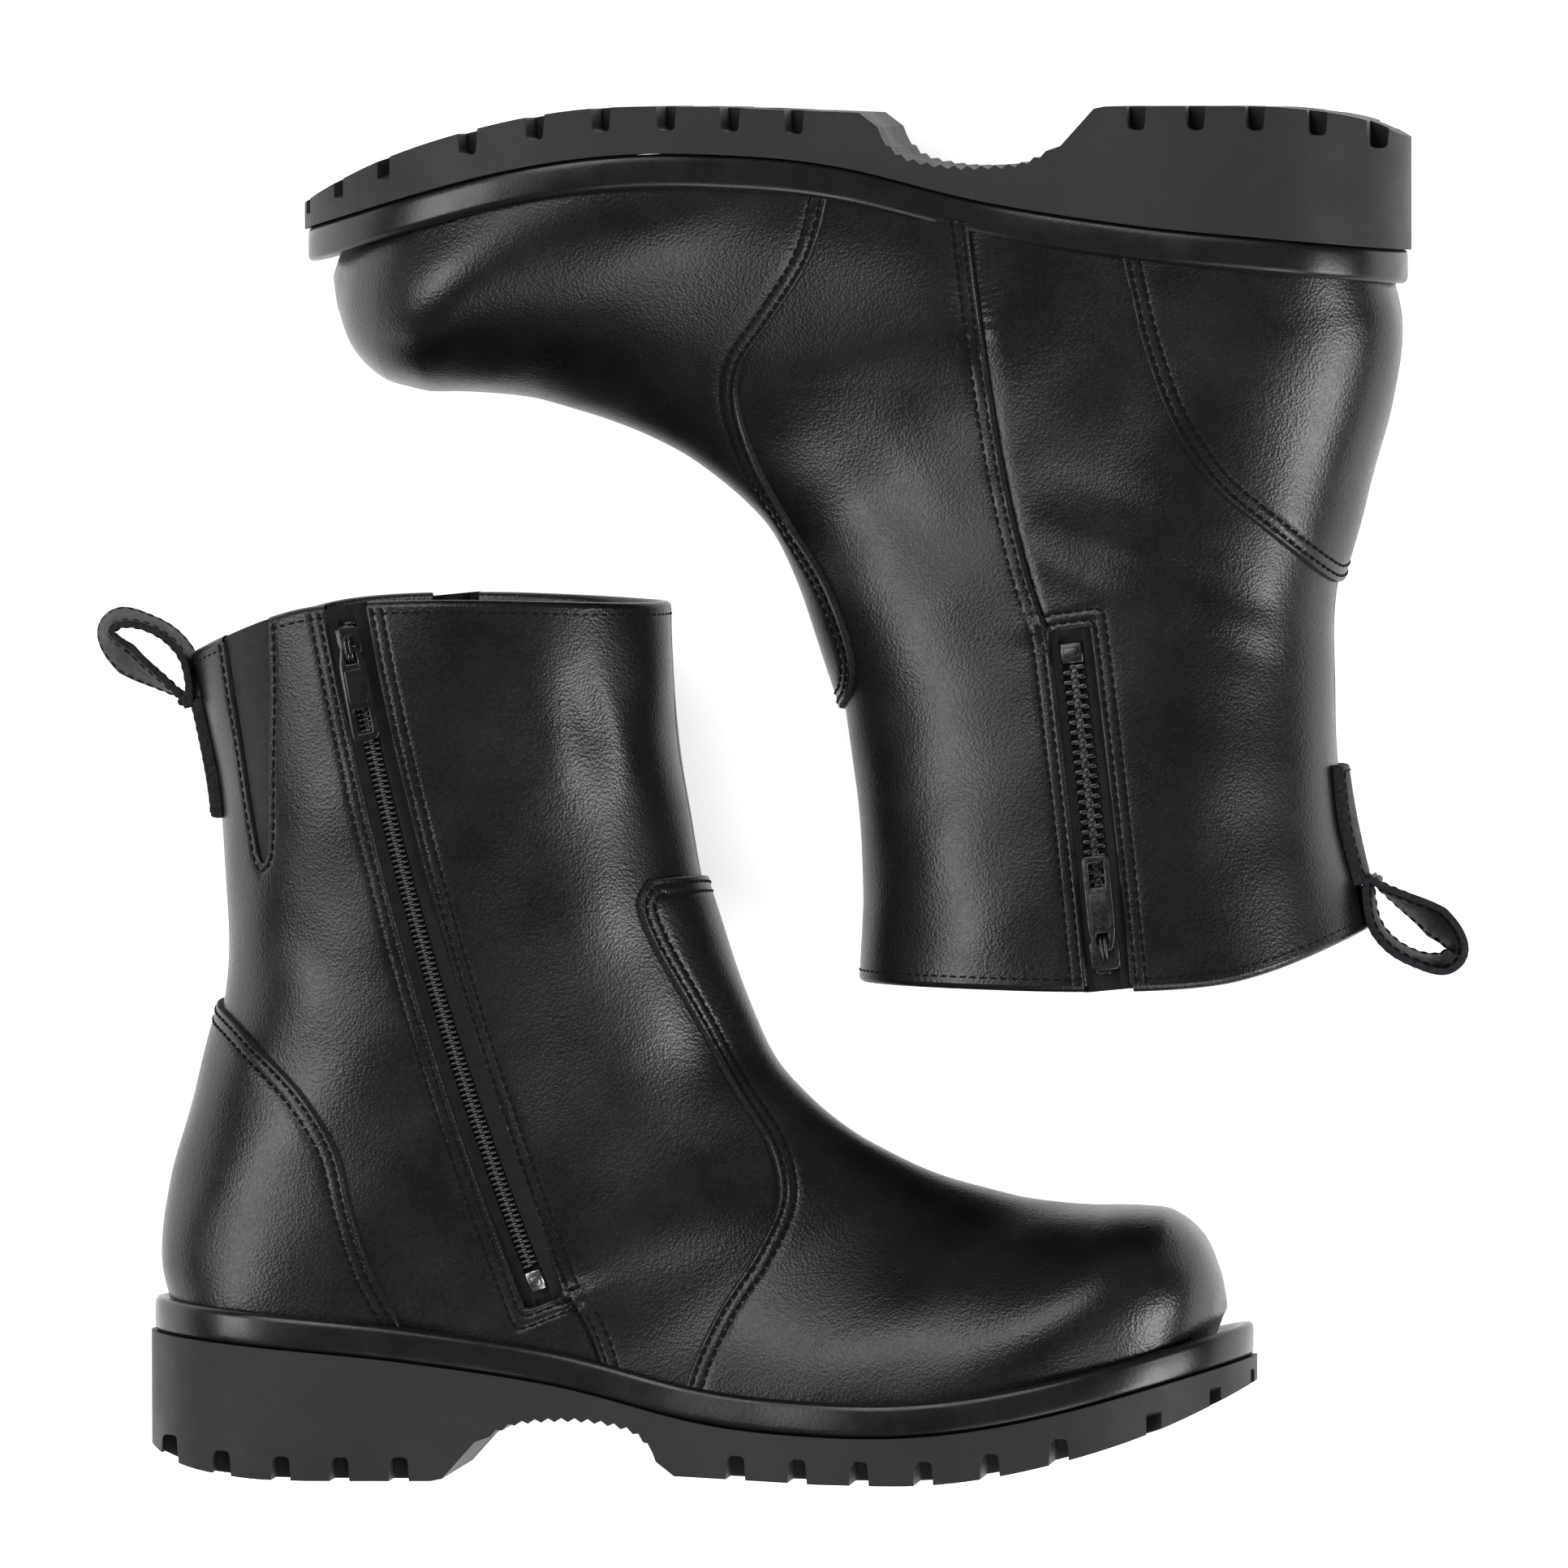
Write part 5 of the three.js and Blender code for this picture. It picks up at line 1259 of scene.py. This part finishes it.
def slider_parts(half):
    """The slider, drawn flat about its middle: two shield-shaped wings, side flanges, a web and a bail."""
    a, b = -SLIDER_LENGTH / 2, SLIDER_LENGTH / 2
    shield = rounded([(a, -half * 1.1), (a * 0.1, -half * 1.2), (b, -half * 0.82), (b, half * 0.82),
                      (a * 0.1, half * 1.2), (a, half * 1.1)], 1.6)
    top, faces = plate([shield], WING, 0.35)
    parts = [(top + (0, 0, WING_LOW + WING / 2), faces), (top - (0, 0, WING_LOW + WING / 2), faces)]
    for sign in (-1, 1):
        w0, w1 = sorted((sign * half, sign * (half + 0.7)))
        parts.append(box(a * 0.9, b * 0.25, w0, w1, 0.7, WING_LOW + 0.4))
        parts.append(box(a * 0.9, b * 0.25, w0, w1, -WING_LOW - 0.4, -0.7))
    parts.append(box(a + 0.5, a + 4.5, -0.3, 0.3, -WING_LOW, WING_LOW, 0.1))
    foot = WING_LOW + WING - 0.3
    arch = [(-3.1, 0, foot), (-3.0, 0, BAR_AT), (-2.2, 0, BAR_AT + 1.1), (0, 0, BAR_AT + 1.3),
            (2.2, 0, BAR_AT + 1.1), (3.0, 0, BAR_AT), (3.1, 0, foot)]
    verts, faces = tube(spline(arch, 0.5), 0.5)
    for sign in (-1, 1):
        parts.append((verts * (1, 1.1, 1) + (0, sign * 0.55, 0), faces))
    return joined(parts)


def pull_parts(framed):
    """The pull tab, drawn flat from the bar at s 0: arms, a plate with a raised border and a window."""
    half = PULL_WIDTH / 2
    outline = rounded([(-0.9, -2.4), (4.4, -half), (PULL_LENGTH, -half), (PULL_LENGTH, half), (4.4, half),
                       (-0.9, 2.4)], 1.5)
    eye = rounded([(1.0, -1.35), (4.0, -1.6), (4.0, 1.6), (1.0, 1.35)], 0.4)
    window = rounded(rectangle(PULL_LENGTH - 8.5, PULL_LENGTH - 2, -half + 1.7, half - 1.7), 0.6)
    parts = [plate([outline, eye, window], PULL_THICK, 0.4)]
    panel = rounded(rectangle(5.6, PULL_LENGTH - 10, -half + 1.1, half - 1.1), 0.8)
    verts, faces = plate([panel], 0.5, 0.2)
    parts.append((verts + (0, 0, PULL_THICK / 2 + (0.1 if framed else 0.05)), faces))
    return joined(parts)


def zip_metal(side, track, name):
    finish = "black_metal" if name == "long_zip" else "gunmetal"
    tab, tab_faces = pull_parts(name == "short_zip")
    for piece, part, (verts, faces) in (("slider_body", "slider", slider_parts(CHAIN[name] / 2 + 0.4)),
                                        ("pull_tab", "pull", (tab + (0, 0, BAR_AT), tab_faces))):
        obj = placed(side, f"{name}_{piece}", track.rigid(verts, SLIDER_REST), faces, [finish], finish,
                     [f"{name}_{part}"], f"{name}_{part}_body")
        sharpen(obj, METAL_CORNER)


# ---- Sole ----
SOLE_PLAN = [
    (0, 0), (3, 16), (12, 29.5), (28, 38.5), (52, 41), (85, 40), (112, 39.6), (140, 44), (168, 50.5),
    (198, 55), (226, 55.6), (252, 51), (273, 42), (290, 26), (299.5, 8), (300.5, -10), (294, -27),
    (280, -40), (258, -49), (228, -51.6), (196, -49.6), (166, -43), (138, -37.5), (112, -36), (84, -38.5),
    (52, -40.5), (28, -38.5), (12, -29.5), (3, -16),
]
PLAN_POINTS = 300
WELT_PROFILE = [  # inset from the plan and height over the band's foot
    (14, 0.2), (1.9, 0.2), (1.3, 0.5), (1.05, 1.2), (1.0, 2.4), (1.0, 7.2), (1.2, 8.3), (1.8, 9.1),
    (2.6, 9.4), (3.6, 9.3), (4.8, 8.6), (7, 7.2), (16, 6.6),
]
HEEL_BOTTOM = [(-12, 13), (0, 8.5), (12, 3.4), (30, 0.6), (46, 0)]
FOREFOOT_BOTTOM = [(186, 0), (212, 0), (232, 2.2), (252, 6.6), (272, 12.8), (290, 20.5), (312, 32)]
BREAST = [(80, 0), (83, 0.6), (92, 10.6), (96, 12)]
ARCH = [(96, 12), (104, 15.2), (121, 15.8), (134, 13.2), (140, 8)]
ARCH_END = [(141, 5.4), (146, 1.6)]
HEEL_GROOVES = (7.5, 23, 39.5, 55.5, 71.5)
FOREFOOT_GROOVES = (163, 180, 197, 214.5, 232.5, 251)
TOE_GROOVES = (-58, -36, -12, 12, 36, 58)  # degrees from the toe's middle line
TOE_MIDDLE = 248
BETWEEN_GROOVES = 8.6  # from a groove at the edge to the next bar across the middle
GROOVE, GROOVE_DEPTH = 4.8, 6.4
EDGE_LUG = 27  # how far from the middle line the grooves at the tread's edges start
HEEL_END_LUG = 13  # the same for the groove nearest to the heel's end
WIDE = 90  # more than half the sole's width
CHANNELS = [  # long grooves: where they lie beside the middle line, half their width, their side view
    (22.5, 1.6, [(150, -9), (247, -9), (247, 3.2), (232, 2.6), (214, 2.2), (160, 2.2), (150, 3)]),
    (18.45, 1.5, [(17, -9), (77, -9), (77, 2.4), (17, 4.4)]),
]


def serrated(line, pitch=3.6, depth=1.1):
    """A line cut into small saw teeth that face forwards."""
    even = resample(np.array(line, float), pitch / 2)
    even[1::2, 1] += depth
    return [tuple(p) for p in even]


def sole_bottom():
    heel, front = spline(HEEL_BOTTOM, 3), spline(FOREFOOT_BOTTOM, 4)
    arch = serrated(spline(ARCH, 1.5))
    return [tuple(p) for p in heel] + BREAST[:-1] + arch + ARCH_END + [tuple(p) for p in front]


def prism(outline, low, high, upright):
    """A closed prism of an outline in x, z extruded across the boot, or of a plan extruded upwards."""
    bm = bmesh.new()
    points = [(x, low, v) if not upright else (x, v, low) for x, v in outline]
    face = bm.faces.new([bm.verts.new(p) for p in points])
    moved = bmesh.ops.extrude_face_region(bm, geom=[face])["geom"]
    shift = (0, 0, high - low) if upright else (0, high - low, 0)
    bmesh.ops.translate(bm, vec=shift, verts=[v for v in moved if isinstance(v, bmesh.types.BMVert)])
    bmesh.ops.recalc_face_normals(bm, faces=bm.faces)
    mesh = bpy.data.meshes.new("prism")
    bm.to_mesh(mesh)
    bm.free()
    return linked("prism", mesh)


def boolean(obj, other, operation="DIFFERENCE"):
    modifier = obj.modifiers.new("boolean", "BOOLEAN")
    modifier.object = other
    modifier.operation = operation
    modifier.solver = "EXACT"
    mesh = applied(obj)
    obj.modifiers.remove(modifier)
    obj.data = mesh
    bpy.data.objects.remove(other)
    return obj


def groove(x, bottom, low, high, width=GROOVE, depth=GROOVE_DEPTH):
    """A cutter for a groove across the tread from low to high."""
    z = height_on(bottom, x)
    outline = rounded([(x - width / 2 - 1.2, z - 12), (x + width / 2 + 1.2, z - 12),
                       (x + width / 2 - 0.2, z + depth), (x - width / 2 + 0.2, z + depth)], 1.4)
    return prism(outline, low, high, False)


def toe_slot(degrees, bottom):
    """A cutter for a slot that points outwards from the middle of the toe."""
    turn = math.radians(degrees)
    way = np.array([math.cos(turn), math.sin(turn)])
    z = height_on(bottom, TOE_MIDDLE + way[0] * 46)
    obj = prism(rectangle(-15, 15, -2.2, 2.2), -12, GROOVE_DEPTH, True)
    move = Matrix.Translation((TOE_MIDDLE + way[0] * 52, way[1] * 49, z))
    obj.data.transform(move @ Matrix.Rotation(turn, 4, "Z") @ Matrix.Rotation(-0.38 * way[0], 4, "Y"))
    return obj


def sole_mesh():
    """The outsole in a boot's own frame: the plan's prism cut to the side view, then grooved."""
    bottom = sole_bottom()
    tread = np.array([p for p in bottom if p[0] < ARCH[0][0] - 4 or p[0] > ARCH[-1][0]])
    top = [(x, z - WELT_BAND) for x, z in spline(WELT_TOP, 3)]
    body = prism(closed_spline(SOLE_PLAN, PLAN_POINTS), -20, 60, True)
    body = boolean(body, prism(bottom + top[::-1], -WIDE, WIDE, False), "INTERSECT")
    for x in HEEL_GROOVES + FOREFOOT_GROOVES:
        inner = EDGE_LUG if x > HEEL_GROOVES[0] else HEEL_END_LUG
        body = boolean(body, groove(x, tread, inner, WIDE))
        body = boolean(body, groove(x, tread, -WIDE, -inner))
    middle = EDGE_LUG - 9
    for x in FOREFOOT_GROOVES[:-1]:
        body = boolean(body, groove(x + BETWEEN_GROOVES, tread, -middle, middle, GROOVE * 0.8, 4.5))
    for sign in (-1, 1):
        for beside, half, outline in CHANNELS:
            body = boolean(body, prism(outline, sign * beside - half, sign * beside + half, False))
    for degrees in TOE_GROOVES:
        body = boolean(body, toe_slot(degrees, tread))
    verts, faces = read_mesh(body.data)
    bpy.data.objects.remove(body)
    return verts, faces


def welt_mesh():
    """The glossy band round the boot, with a rounded lip that runs in under the upper."""
    plan = closed_spline(SOLE_PLAN, PLAN_POINTS)
    along = unit(np.roll(plan, -1, axis=0) - np.roll(plan, 1, axis=0))
    inward = np.stack([along[:, 1], -along[:, 0]], 1)
    rows = []
    for inset, rise in WELT_PROFILE:
        ring = plan + inward * inset
        z = height_on(welt_top, ring[:, 0]) - WELT_BAND + rise
        rows.append(np.column_stack([ring, z]))
    faces = [(a, d, c, b) for a, b, c, d in grid_faces(len(rows), len(plan), True)]
    return np.vstack(rows), faces


# ---- Build ----
sole = sole_mesh()
welt = welt_mesh()
CAD_FINISH = {"shank": "steel", "insole_board": "board", "toe_puff": "stiffener",
              "heel_stiffener": "stiffener", "vamp_interlining": "lining"}


def build_boot(side):
    tracks = [Track(side, spec) for spec in ZIPS]
    skin = full_skin(tracks)
    rows = overlay(side, skin, "vamp", "vamp")
    rows += overlay(side, skin, "counter", "heel_counter")
    for spec, sign, word in ((LONG_ZIP, -1, "medial"), (SHORT_ZIP, 1, "lateral")):
        for end in ("front", "rear"):
            rows += quarter(side, skin, spec["name"], sign, end == "front", f"quarter_{end}_{word}")
    rows.append(collar(side, tracks))
    rows.append(pull_legs(side, skin))
    strap_loop(side)
    verts, faces = stitches(*gather(*rows))
    placed(side, "stitching", verts, faces, ["thread"], "leather")
    gusset(side, skin)
    lining(side)
    footbed(side)
    for track, spec in zip(tracks, ZIPS):
        for make in (zip_tape, zip_teeth, zip_metal):
            make(side, track, spec["name"])
    sharpen(placed(side, "lug_sole", *sole, ["rubber"], "rubber", ["outsole"]), RUBBER_CORNER)
    placed(side, "welt_band", *welt, ["welt"], "rubber", ["welt"])
    for node, finish in CAD_FINISH.items():
        mesh = frame["nodes"][f"{side}_{node}"].data
        mesh.materials.clear()
        mesh.materials.append(MATERIALS[finish])


for side_name in SIDES:
    build_boot(side_name)
